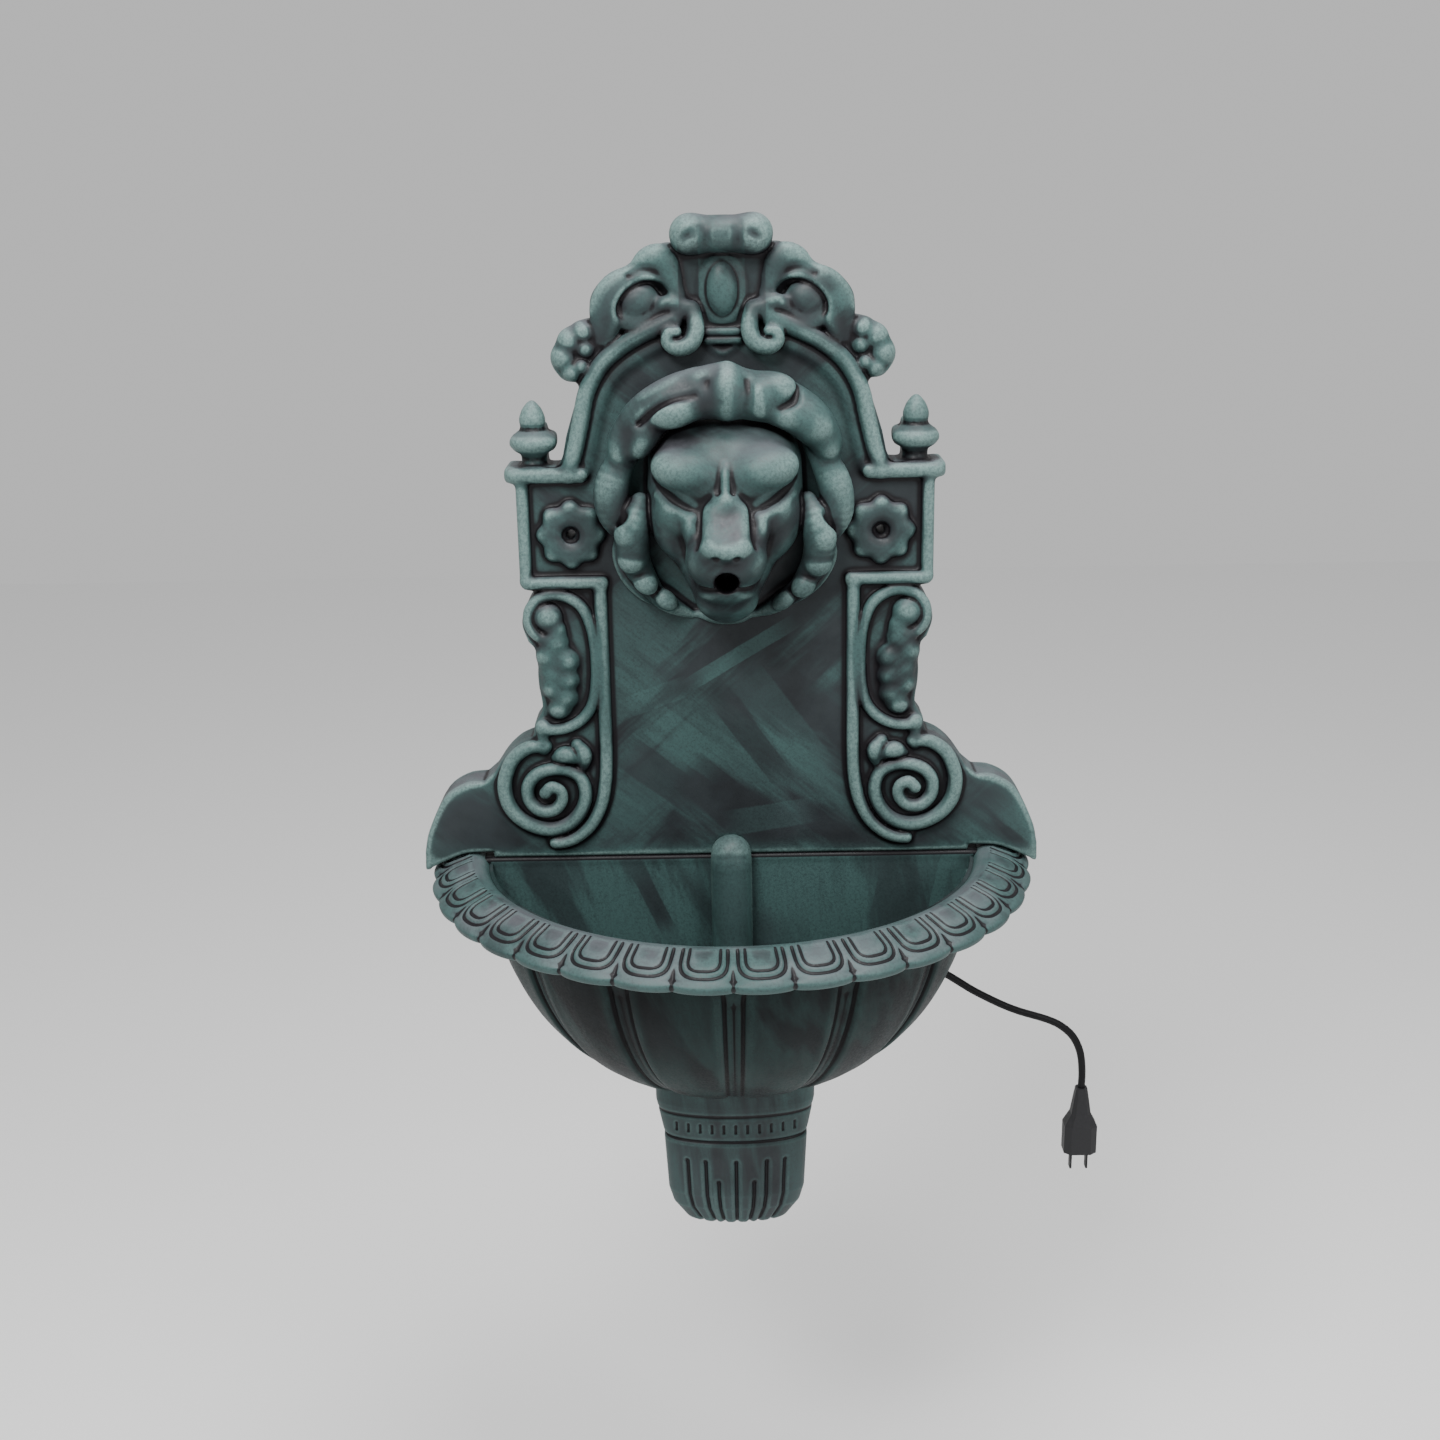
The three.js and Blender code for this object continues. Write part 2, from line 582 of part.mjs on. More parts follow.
function rimRing() {
  const lowZ = RIM_TOP_Z - RIM_FALL;
  const sections = [
    [RIM_INNER - BASIN_WALL, lowZ - RIM_THICKNESS - 6, 0, 0],
    [BOWL_RADIUS, lowZ - RIM_THICKNESS - 6, 0, 0],
    [RIM_RADIUS - 6, lowZ - RIM_THICKNESS, 0.5, 0],
    [RIM_RADIUS, lowZ - 2, 1, 0],
    [RIM_RADIUS - 7, lowZ, 1, 1],
    [RIM_INNER + 6, RIM_TOP_Z - 1, 0, 1],
    [RIM_INNER - BASIN_WALL, RIM_TOP_Z, 0, 0],
  ];
  const rings = sections.map(([radius, z, dip, pad]) =>
    scallopAngles().map((angle) => {
      const wave = tongueShare(angle);
      const reach = radius - dip * SCALLOP_DIP * (1 - wave);
      const height = z + pad * TONGUE_RAISE * tongueShare(angle);
      return [reach * Math.sin(angle), -BASIN_CENTRE - reach * Math.cos(angle), height];
    })
  );
  return loft(rings);
}

// Bowl wall: panels stand out between narrow sunk strips, and the strips are evenly spaced.
const STRIP_PITCH = THREE.MathUtils.degToRad(26);
const STRIP_HALF = THREE.MathUtils.degToRad(2.3);
const STRIP_EDGE = THREE.MathUtils.degToRad(1.2);
const BOWL_DROPS = [0.975, 0.91, 0.8, 0.64, 0.4, 0.03];

// The bowl bellies like an ellipse, fuller towards its floor.
function bowlProfile(inset) {
  return BOWL_DROPS.map((drop) => [
    (BOWL_RADIUS - inset) * (1 - drop * drop) ** 0.4, JOINT_Z - (BOWL_DEPTH - inset) * drop,
  ]);
}

// Undersides of the bowl and of the space in it.
const FLOOR_Z = bowlProfile(0)[0][1];
const POCKET_FLOOR_Z = bowlProfile(BASIN_WALL)[0][1];

function stripAngles() {
  const angles = [];
  for (let strip = -3; strip <= 3; strip += 1) {
    const middle = strip * STRIP_PITCH;
    angles.push(middle - STRIP_HALF - STRIP_EDGE, middle - STRIP_HALF, middle + STRIP_HALF);
    angles.push(middle + STRIP_HALF + STRIP_EDGE, middle + STRIP_PITCH / 2);
  }
  const first = -3 * STRIP_PITCH - STRIP_PITCH / 2;
  const last = angles.at(-1);
  const back = [0.2, 0.4, 0.6, 0.8].map((share) => last + share * (FULL_TURN + first - last));
  return [first, ...angles, ...back];
}

function panelled(radius, angle, z) {
  const fromStrip = Math.abs(angle - Math.round(angle / STRIP_PITCH) * STRIP_PITCH);
  const sunk = fromStrip < STRIP_HALF + STRIP_EDGE / 2 && Math.abs(angle) < Math.PI / 2;
  const inPanel = z > BOWL_FLOOR_Z + 4 && z < JOINT_Z - 30;
  return radius - (sunk && inPanel ? PANEL_RAISE : 0);
}

// Pendant: straight sides off the wall and a shallow crowned front.
function pendantRing(halfWidth, z, inset = 0) {
  const side = PENDANT_SIDE - inset;
  const crown = (PENDANT_CROWN * halfWidth) / (PENDANT_WIDTH / 2);
  const ring = [[-halfWidth, BASIN_WALL * 2, z], [-halfWidth, -side, z]];
  const steps = 7;
  for (let step = 1; step < steps; step += 1) {
    const angle = (Math.PI * step) / steps;
    ring.push([-halfWidth * Math.cos(angle), -side - crown * Math.sin(angle), z]);
  }
  ring.push([halfWidth, -side, z], [halfWidth, BASIN_WALL * 2, z]);
  return ring;
}

// Shares of the pendant's drop and of its half width, from its foot up, with a ring line sunk in.
const PENDANT_SHARES = [
  [1, 0.22], [0.97, 0.42], [0.9, 0.61], [0.78, 0.8], [0.66, 0.863],
  [0.335, 0.9], [0.32, 0.87], [0.305, 0.905], [0.1, 0.995],
];

function pendantBody(inset) {
  const half = PENDANT_WIDTH / 2 - inset;
  const rings = PENDANT_SHARES.map(([drop, width]) =>
    pendantRing(half * width, BOWL_FLOOR_Z - (PENDANT_DROP - inset) * drop, inset)
  );
  if (inset === 0) {
    rings.push(pendantRing(half, FLOOR_Z + BASIN_WALL / 2));
  }
  return loft(rings);
}

// Grooves in the drum, as shares of its half width; the two inner ones start lower.
const GROOVES = [-0.63, -0.395, -0.234, 0, 0.234, 0.395, 0.63];
const GROOVE_WIDTH = 2.6;
const GROOVE_DEPTH = 2.5;

function pendantGrooves() {
  const half = PENDANT_WIDTH / 2;
  const cuts = GROOVES.map((share) => {
    const top = Math.abs(share) === 0.234 ? 0.57 : 0.433;
    const front = -PENDANT_SIDE - PENDANT_CROWN * 0.86 * Math.sqrt(1 - (share / 0.86) ** 2);
    return box(
      share * half - GROOVE_WIDTH / 2, share * half + GROOVE_WIDTH / 2,
      front - PENDANT_CROWN, front + GROOVE_DEPTH,
      BOWL_FLOOR_Z - PENDANT_DROP, BOWL_FLOOR_Z - PENDANT_DROP * top
    );
  });
  return join(cuts);
}

function riser() {
  const section = (z, shrink) => {
    const half = (RISER_WIDTH / 2) * shrink;
    const reach = RISER_REACH * shrink;
    const ring = [[-half, -FIELD_DEPTH - JOINT_GAP, z]];
    const steps = 6;
    for (let step = 0; step <= steps; step += 1) {
      const angle = (Math.PI * step) / steps;
      ring.push([-half * Math.cos(angle), -FIELD_DEPTH - 4 - reach * Math.sin(angle), z]);
    }
    ring.push([half, -FIELD_DEPTH - JOINT_GAP, z]);
    return ring;
  };
  const top = JOINT_Z + RISER_RISE;
  return loft([
    section(BOWL_FLOOR_Z + 2, 1), section(top - 12, 1), section(top - 5, 0.88), section(top - 1, 0.6),
    section(top, 0.3),
  ]);
}

// Lead. It turns down out of an elbow grommet in the back wall, joins the coil at its left, leaves
// it at its lower right, passes out of the bowl by a notch, and hangs down to its plug.
const POCKET_Y = -POCKET_MIDDLE;
const COIL_OUTER = COIL_RADIUS + COIL_BAND / 2;
const COIL_Z = POCKET_FLOOR_Z + COIL_OUTER + TOUCH_GAP;
const COIL_X = -8;
const GROMMET_X = COIL_X - COIL_OUTER - GROMMET_FLANGE;
const GROMMET_Z = COIL_Z + 40;
const NOTCH_Z = -352.5;
const BACK_WALL_Y = -FIELD_DEPTH + BASIN_WALL;

function grommet() {
  const bend = [GROMMET_X, POCKET_Y, GROMMET_Z];
  const through = bar(
    [GROMMET_X, -FIELD_DEPTH - 3, GROMMET_Z], bend, GROMMET_RADIUS, 8
  );
  const front = -FIELD_DEPTH - TOUCH_GAP;
  const flange = (from) =>
    bar([GROMMET_X, from, GROMMET_Z], [GROMMET_X, from + FLANGE_THICKNESS, GROMMET_Z], GROMMET_FLANGE, 8);
  const back = BACK_WALL_Y + TOUCH_GAP;
  const sleeve = new THREE.CylinderGeometry(GROMMET_RADIUS, GROMMET_RADIUS * 0.72, GROMMET_LENGTH, 8);
  sleeve.rotateX(Math.PI / 2);
  sleeve.translate(GROMMET_X, POCKET_Y, GROMMET_Z + GROMMET_RADIUS - GROMMET_LENGTH / 2);
  return join([through, flange(front - FLANGE_THICKNESS), flange(back), toSolid(sleeve)]);
}

const SLEEVE_END_Z = GROMMET_Z + GROMMET_RADIUS - GROMMET_LENGTH;

// The short stretch from the grommet down to the coil, and the stretch from the coil to the plug.
const LEAD_INNER = [
  [GROMMET_X, POCKET_Y, SLEEVE_END_Z - TOUCH_GAP], [COIL_X - COIL_OUTER - 9.5, POCKET_Y, COIL_Z + 12],
  [COIL_X - COIL_OUTER - 7, POCKET_Y, COIL_Z + 1.5], [COIL_X - COIL_OUTER - 2.6, POCKET_Y, COIL_Z - 8.5],
];
const LEAD_OUTER = [
  [COIL_X + COIL_OUTER + 2.2, POCKET_Y, COIL_Z - 9], [52.5, POCKET_Y, -370], [62.5, POCKET_Y, -361.8],
  [75, POCKET_Y, -355], [90, POCKET_Y, -351.3], [105, POCKET_Y, -350.4],
  [132, POCKET_Y, -350.5], [148, POCKET_Y, -350.8], [158, POCKET_Y, -354],
  [168, POCKET_Y, -359.5], [178.5, POCKET_Y, -366.5], [190.5, POCKET_Y, -374.5], [210.5, POCKET_Y, -385.5],
  [226.5, POCKET_Y, -392.5], [247.5, POCKET_Y, -399.5], [260, POCKET_Y, -406], [270, POCKET_Y, -416],
  [276, POCKET_Y, -430], [278, POCKET_Y, -446], [278, POCKET_Y, -460],
];

function leadTube(points) {
  const line = new THREE.CatmullRomCurve3(points.map((point) => new THREE.Vector3(...point)));
  const section = new THREE.Shape();
  const sides = 8;
  for (let side = 0; side < sides; side += 1) {
    const angle = (FULL_TURN * side) / sides;
    section[side === 0 ? 'moveTo' : 'lineTo']((LEAD / 2) * Math.cos(angle), (LEAD / 2) * Math.sin(angle));
  }
  const steps = Math.round(line.getLength() / (LEAD * 3));
  return new THREE.ExtrudeGeometry(section, { extrudePath: line, steps, bevelEnabled: false });
}

function leadCoil() {
  const half = COIL_THICKNESS / 2;
  const low = COIL_RADIUS - COIL_BAND / 2;
  const profile = [[low, -half], [COIL_OUTER, -half], [COIL_OUTER, half], [low, half], [low, -half]];
  const geometry = new THREE.LatheGeometry(profile.map((point) => new THREE.Vector2(...point)), 14);
  geometry.translate(COIL_X, POCKET_Y, COIL_Z);
  return geometry;
}

// A moulded plug hanging point down, with a tapered tail and two flat blades.
function plug() {
  const [x, y, tailZ] = LEAD_OUTER.at(-1);
  const tail = 22;
  const topZ = tailZ - TOUCH_GAP;
  const section = (z, wide, deep) => [
    [x - wide, y - deep * 0.6, z], [x - wide * 0.6, y - deep, z], [x + wide * 0.6, y - deep, z],
    [x + wide, y - deep * 0.6, z], [x + wide, y + deep * 0.6, z], [x + wide * 0.6, y + deep, z],
    [x - wide * 0.6, y + deep, z], [x - wide, y + deep * 0.6, z],
  ];
  const wide = PLUG_WIDTH / 2;
  const deep = PLUG_THICKNESS / 2;
  const body = loft([
    section(topZ - tail - PLUG_LENGTH, wide, deep), section(topZ - tail - PLUG_LENGTH * 0.3, wide, deep),
    section(topZ - tail, wide * 0.6, deep * 0.7), section(topZ, LEAD * 0.75, LEAD * 0.75),
  ]);
  const bladeTop = topZ - tail - PLUG_LENGTH + 1;
  const blades = [-1, 1].map((side) =>
    box(x + side * 6.4 - 0.8, x + side * 6.4 + 0.8, y - 3.2, y + 3.2, bladeTop - 17, bladeTop)
  );
  return join([body, ...blades]);
}

function basin() {
  const wallSide = box(-PLATE_WIDTH, PLATE_WIDTH, 0, PLATE_WIDTH, BOWL_FLOOR_Z * 2, PLATE_RISE);
  const bowl = turned(bowlProfile(0), stripAngles(), panelled);
  const rim = rimRing();
  const outer = join([bowl, rim, pendantBody(0)]);
  const bowlSpace = turned([
    ...bowlProfile(BASIN_WALL), [RIM_INNER, RIM_TOP_Z + 2],
  ], evenAngles(22));
  const backWall = box(
    -PLATE_WIDTH, PLATE_WIDTH, -FIELD_DEPTH, BACK_WALL_Y, BOWL_FLOOR_Z - BASIN_WALL, JOINT_Z
  );
  const ledge = box(-PLATE_WIDTH, PLATE_WIDTH, -FIELD_DEPTH, BASIN_WALL, JOINT_Z - BASIN_WALL, JOINT_Z);
  const riserRoot = box(
    -RISER_WIDTH / 2, RISER_WIDTH / 2, -FIELD_DEPTH - 2, BACK_WALL_Y, BOWL_FLOOR_Z + BASIN_WALL / 2, JOINT_Z
  );
  const insideLimit = turned([
    ...bowlProfile(BASIN_WALL / 2),
    [RIM_INNER + BASIN_WALL / 2, JOINT_Z],
    [RIM_INNER, JOINT_Z + RISER_RISE * 2],
  ], evenAngles(16));
  const inside = join([backWall, ledge, riser(), riserRoot]).intersect(insideLimit);
  const hooks = bothSides(box(
    HOOK_START, HOOK_START + HOOK_WIDTH, BACK_WALL_Y + JOINT_GAP, BACK_WALL_Y + JOINT_GAP + HOOK_THICKNESS,
    JOINT_Z - BASIN_WALL, JOINT_Z + HOOK_RISE
  ));
  const hoseTop = JOINT_Z + HOSE_BORE - 4;
  const hoseY = -FIELD_DEPTH - 11;
  const hoseUp = bar([0, hoseY, BOWL_FLOOR_Z + BASIN_WALL + 2], [0, hoseY, hoseTop], HOSE_BORE / 2 - 1, 10);
  const hoseBack = bar([0, hoseY, hoseTop - 6], [0, 0, hoseTop - 6], HOSE_BORE / 2 - 1, 10);
  const foot = box(
    -HOSE_BORE / 2, HOSE_BORE / 2, -PLATE_WIDTH / 4, hoseY, BOWL_FLOOR_Z + BASIN_WALL, BOWL_FLOOR_Z + 30
  );
  const notch = box(
    BOWL_RADIUS / 2, BOWL_RADIUS, POCKET_Y - NOTCH_WIDTH / 2, BASIN_WALL,
    NOTCH_Z - NOTCH_WIDTH / 2, NOTCH_Z + NOTCH_WIDTH / 2
  );
  const holeFront = [GROMMET_X, -FIELD_DEPTH - 1, GROMMET_Z];
  const holeBack = [GROMMET_X, BACK_WALL_Y + 1, GROMMET_Z];
  const grommetHole = bar(holeFront, holeBack, GROMMET_RADIUS + 2 * TOUCH_GAP, 8);
  const hollows = [pendantBody(BASIN_WALL), pendantGrooves(), hoseUp, hoseBack, foot, notch, grommetHole];
  const cuts = join([wallSide, ...hollows]);
  return outer.subtract(bowlSpace).add(inside).add(hooks).subtract(cuts);
}

const stone = new THREE.MeshStandardMaterial({ color: 0x3a5a52, roughness: 0.5, metalness: 0.05 });
const rubber = new THREE.MeshStandardMaterial({ color: 0x0c0c0d, roughness: 0.6, metalness: 0 });

const fountain = new THREE.Group();
function place(name, geometry, material) {
  const mesh = new THREE.Mesh(geometry, material);
  mesh.name = name;
  fountain.add(mesh);
}

place('back_plate', toGeometry(backPlate()), stone);
place('basin', toGeometry(basin()), stone);
place('cord_grommet', toGeometry(grommet()), rubber);
place('cord_inner', leadTube(LEAD_INNER), rubber);
place('cord_coil', leadCoil(), rubber);
place('cord_outer', leadTube(LEAD_OUTER), rubber);
place('cord_plug', toGeometry(plug()), rubber);

export default fountain;
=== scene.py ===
"""Wall fountain: a lion mask on a cast plate over a half-round basin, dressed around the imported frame.

Outlines are in millimetres, as in the part's source: x to the right, off the distance off the wall
towards the viewer, z up. Meshes are in metres, with the wall at y = 0.
"""

import math

import bmesh
import bpy
import numpy as np
from mathutils import Matrix, Vector


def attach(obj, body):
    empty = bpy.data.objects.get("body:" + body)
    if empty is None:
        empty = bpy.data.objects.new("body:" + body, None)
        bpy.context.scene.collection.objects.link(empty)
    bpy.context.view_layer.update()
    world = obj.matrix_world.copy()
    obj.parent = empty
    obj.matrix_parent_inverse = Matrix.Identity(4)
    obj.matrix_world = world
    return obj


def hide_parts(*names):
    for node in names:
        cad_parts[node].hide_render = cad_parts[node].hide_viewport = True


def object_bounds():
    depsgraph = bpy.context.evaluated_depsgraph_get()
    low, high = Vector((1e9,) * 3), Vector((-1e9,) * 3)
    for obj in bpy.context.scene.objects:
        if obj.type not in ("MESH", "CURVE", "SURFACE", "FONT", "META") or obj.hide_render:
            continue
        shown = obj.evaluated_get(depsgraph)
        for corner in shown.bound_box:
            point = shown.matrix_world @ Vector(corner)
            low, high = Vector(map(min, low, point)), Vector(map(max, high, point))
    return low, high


MM = 0.001
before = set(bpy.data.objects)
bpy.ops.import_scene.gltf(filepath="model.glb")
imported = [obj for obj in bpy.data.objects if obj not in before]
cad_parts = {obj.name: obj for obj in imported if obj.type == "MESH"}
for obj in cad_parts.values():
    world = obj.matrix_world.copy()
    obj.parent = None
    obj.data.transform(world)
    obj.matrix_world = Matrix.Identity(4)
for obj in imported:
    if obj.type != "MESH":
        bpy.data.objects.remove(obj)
cad_low, cad_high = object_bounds()

# Plate and basin sizes, as the part's source has them
FIELD = 33.0
WALL = 5.0
PLATE_DROP = 248.0
SCREW_X = 111.2
HOOK_X = 45.0
JOINT_Z = -248.5
BASIN_CENTRE = 14.0
BOWL_RADIUS = 187.0
BOWL_DEPTH = 182.0
RIM_RADIUS = 228.0
RIM_INNER = 195.0
RIM_TOP_Z = JOINT_Z + 3.0
TONGUES = 18
TONGUE_PITCH = math.pi * 1.043 / TONGUES
RIM_MIDDLE = 212.0
STRIP_PITCH = math.radians(26)

# Steps of the grids that the skins are made from
PLATE_STEP = 1.6
FINE_STEP = 1.25
BACK_STEP = 1.8

# Lead, grommet and coil
LEAD = 6.0
POCKET_Y = -14.0
COIL_X = -8.0
COIL_RADIUS = 34.0
COIL_BAND = 24.0
COIL_OUTER = COIL_RADIUS + COIL_BAND / 2
COIL_LAST = COIL_OUTER - LEAD / 2 - 0.3
COIL_FIRST = COIL_RADIUS - COIL_BAND / 2 + LEAD / 2 + 0.3
POCKET_FLOOR_Z = JOINT_Z - (BOWL_DEPTH - WALL) * 0.975
COIL_Z = POCKET_FLOOR_Z + COIL_OUTER + 0.3
GROMMET_X = COIL_X - COIL_OUTER - 10.0
GROMMET_Z = COIL_Z + 40.0
SLEEVE_END_Z = GROMMET_Z + 6.5 - 24.0


def smooth_line(points, steps=5):
    """A smooth line through points of any number of columns."""
    points = np.array(points, float)
    padded = np.vstack([2 * points[0] - points[1], points, 2 * points[-1] - points[-2]])
    out = []
    for index in range(1, len(padded) - 2):
        a, b, c, d = padded[index - 1:index + 3]
        for step in range(steps):
            t = step / steps
            out.append(0.5 * (
                2 * b + (c - a) * t + (2 * a - 5 * b + 4 * c - d) * t * t
                + (3 * b - a - 3 * c + d) * t ** 3
            ))
    out.append(points[-1])
    return np.array(out)


def build_camera():
    data = bpy.data.cameras.new("camera")
    data.lens = 45
    data.sensor_width = 36
    data.shift_x = -0.00625
    camera = bpy.data.objects.new("camera", data)
    tilt = math.radians(17)
    roll = math.radians(-0.943)
    turn = Matrix.Rotation(math.pi / 2 - tilt, 4, "X") @ Matrix.Rotation(roll, 4, "Z")
    camera.matrix_world = Matrix.Translation((0, -1.3088, 0.24856)) @ turn
    bpy.context.scene.collection.objects.link(camera)
    bpy.context.scene.camera = camera


# Lead: its way to the coil and past it, as in the part's source
LEAD_INNER = [
    (GROMMET_X, SLEEVE_END_Z - 0.3), (COIL_X - COIL_OUTER - 9.5, COIL_Z + 12),
    (COIL_X - COIL_OUTER - 7, COIL_Z + 1.5), (COIL_X - COIL_OUTER - 2.6, COIL_Z - 8.5),
]
LEAD_OUTER = [
    (COIL_X + COIL_OUTER + 2.2, COIL_Z - 9), (52.5, -370), (62.5, -361.8), (75, -355), (90, -351.3),
    (105, -350.4), (132, -350.5), (148, -350.8), (158, -354), (168, -359.5), (178.5, -366.5),
    (190.5, -374.5), (210.5, -385.5), (226.5, -392.5), (247.5, -399.5), (260, -406), (270, -416),
    (276, -430), (278, -446), (278, -460),
]


def coil_points():
    """Two flat spirals beside each other: inwards, a step across, and outwards again."""
    start = math.radians(228)
    end = math.radians(320) + 12 * math.pi
    turns = (end - start) / (2 * math.pi)
    spiral_turns = (COIL_LAST - COIL_FIRST) / (LEAD + 0.1)
    step_turns = turns - 2 * spiral_turns
    points = []
    count = int(turns * 20)
    for index in range(count + 1):
        done = turns * index / count
        angle = start + 2 * math.pi * done
        inward = min(done / spiral_turns, 1)
        outward = max((done - spiral_turns - step_turns) / spiral_turns, 0)
        radius = COIL_LAST + (COIL_FIRST - COIL_LAST) * (inward - outward)
        across = min(max((done - spiral_turns) / step_turns, 0), 1)
        off = POCKET_Y + (LEAD + 0.1) * (across - 0.5)
        points.append((COIL_X + radius * math.cos(angle), off, COIL_Z + radius * math.sin(angle)))
    return points


def tube_mesh(name, line, diameter):
    """A round tube along a line, as a mesh."""
    data = bpy.data.curves.new(name, "CURVE")
    data.dimensions = "3D"
    data.bevel_depth = diameter / 2
    data.bevel_resolution = 3
    data.use_fill_caps = True
    spline = data.splines.new("POLY")
    spline.points.add(len(line) - 1)
    for place, point in zip(spline.points, line):
        place.co = (*point, 1)
    guide = bpy.data.objects.new(name, data)
    bpy.context.scene.collection.objects.link(guide)
    graph = bpy.context.evaluated_depsgraph_get()
    mesh = bpy.data.meshes.new_from_object(guide.evaluated_get(graph), depsgraph=graph)
    bpy.data.objects.remove(guide)
    mesh.polygons.foreach_set("use_smooth", np.ones(len(mesh.polygons), bool))
    return mesh


def build_lead():
    points = [(x, POCKET_Y - min(i, 3), z) for i, (x, z) in enumerate(LEAD_INNER)]
    points += coil_points()
    points += [(x, POCKET_Y, z) for x, z in LEAD_OUTER]
    line = smooth_line(points, 3) * MM
    lead = bpy.data.objects.new("cord_lead", tube_mesh("cord_lead", line, LEAD * MM))
    bpy.context.scene.collection.objects.link(lead)
    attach(lead, "root")
    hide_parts("cord_inner", "cord_coil", "cord_outer")
    return lead


build_camera()
lead = build_lead()


# Solids as distances on a grid: negative inside, in millimetres, and joined with soft creases
class Block:
    """A grid to which forms are added and from which they are cut. Full is the same grid without its
    hollows, where the wear, the painted highlight and the painted shade are to be read from that."""

    def __init__(self, low, high, step):
        self.low = np.array(low, float)
        self.step = step
        self.shape = tuple(int(math.ceil((b - a) / step)) + 1 for a, b in zip(low, high))
        self.field = np.full(self.shape, 50.0, np.float32)
        self.full = None

    def window(self, low, high):
        first = np.floor((np.array(low) - self.low) / self.step).astype(int)
        last = np.ceil((np.array(high) - self.low) / self.step).astype(int) + 1
        first = np.clip(first, 0, self.shape)
        last = np.clip(last, 0, self.shape)
        part = tuple(slice(a, b) for a, b in zip(first, last))
        axes = [
            (self.low[i] + self.step * np.arange(first[i], last[i])).astype(np.float32) for i in range(3)
        ]
        grid = (axes[0][:, None, None], axes[1][None, :, None], axes[2][None, None, :])
        return part, grid

    def add(self, form, soft=3.0):
        part, grid = self.window(form.low - soft - 2, form.high + soft + 2)
        self.field[part] = soft_min(self.field[part], form.distance(*grid), soft)

    def cut(self, form, soft=1.5):
        part, grid = self.window(form.low - soft - 2, form.high + soft + 2)
        self.field[part] = -soft_min(-self.field[part], form.distance(*grid), soft)


def soft_min(a, b, soft):
    blend = np.maximum(soft - np.abs(a - b), 0) / soft
    return np.minimum(a, b) - blend * blend * (soft * 0.25)


class Ball:
    """An ellipsoid, turned in the plane of the wall by a tilt and then pitched forwards."""

    def __init__(self, centre, radii, tilt=0.0, pitch=0.0):
        x, off, z = centre
        self.centre = (x, -off, z)
        self.radii = radii
        self.turn = np.array(
            Matrix.Rotation(tilt, 3, "Y") @ Matrix.Rotation(pitch, 3, "X"), np.float32
        )
        reach = max(radii)
        self.low = np.array(self.centre) - reach
        self.high = np.array(self.centre) + reach

    def local(self, x, y, z):
        dx, dy, dz = x - self.centre[0], y - self.centre[1], z - self.centre[2]
        return [self.turn[0, i] * dx + self.turn[1, i] * dy + self.turn[2, i] * dz for i in range(3)]

    def distance(self, x, y, z):
        place = self.local(x, y, z)
        share = np.sqrt(sum((p / r) ** 2 for p, r in zip(place, self.radii)))
        slope = np.sqrt(sum((p / (r * r)) ** 2 for p, r in zip(place, self.radii)))
        return share * (share - 1) / np.maximum(slope, 1e-4)


class Brick(Ball):
    """A box of half sizes with rounded edges."""

    def __init__(self, centre, radii, tilt=0.0, pitch=0.0, rounding=2.0):
        super().__init__(centre, radii, tilt, pitch)
        self.rounding = rounding
        reach = math.hypot(*radii)
        self.low = np.array(self.centre) - reach
        self.high = np.array(self.centre) + reach

    def distance(self, x, y, z):
        place = self.local(x, y, z)
        over = [np.abs(p) - (r - self.rounding) for p, r in zip(place, self.radii)]
        outside = np.sqrt(sum(np.maximum(q, 0) ** 2 for q in over))
        inside = np.minimum(np.maximum(np.maximum(over[0], over[1]), over[2]), 0)
        return outside + inside - self.rounding


class Strand:
    """A round bead of changing radius along a smooth line of x, off, z and radius; flat squeezes it
    towards the wall."""

    def __init__(self, points, flat=1.0, steps=4):
        line = smooth_line(points, steps)
        line[:, 1] *= -1
        self.line = line
        self.flat = flat
        reach = line[:, 3].max() + 1
        self.low = line[:, :3].min(0) - reach
        self.high = line[:, :3].max(0) + reach

    def distance(self, x, y, z):
        best = None
        for (ax, ay, az, ar), (bx, by, bz, br) in zip(self.line, self.line[1:]):
            ux, uy, uz = bx - ax, (by - ay) / self.flat, bz - az
            length = ux * ux + uy * uy + uz * uz + 1e-9
            px, py, pz = x - ax, (y - ay) / self.flat, z - az
            t = np.clip((px * ux + py * uy + pz * uz) / length, 0, 1)
            gap = np.sqrt((px - t * ux) ** 2 + (py - t * uy) ** 2 + (pz - t * uz) ** 2)
            gap -= ar + (br - ar) * t
            best = gap if best is None else np.minimum(best, gap)
        return best * min(self.flat, 1.0)


def outline_distance(outline, x, z):
    """Distance to a closed outline, negative inside."""
    best = np.full(np.broadcast(x, z).shape, 1e9)
    inside = np.zeros(best.shape, bool)
    for (ax, az), (bx, bz) in zip(outline, np.roll(outline, -1, 0)):
        ux, uz = bx - ax, bz - az
        px, pz = x - ax, z - az
        t = np.clip((px * ux + pz * uz) / (ux * ux + uz * uz + 1e-9), 0, 1)
        best = np.minimum(best, (px - t * ux) ** 2 + (pz - t * uz) ** 2)
        crosses = (az > z) != (bz > z)
        if bz != az:
            inside ^= crosses & (x < ux * (z - az) / uz + ax)
    return np.where(inside, -1, 1) * np.sqrt(best)


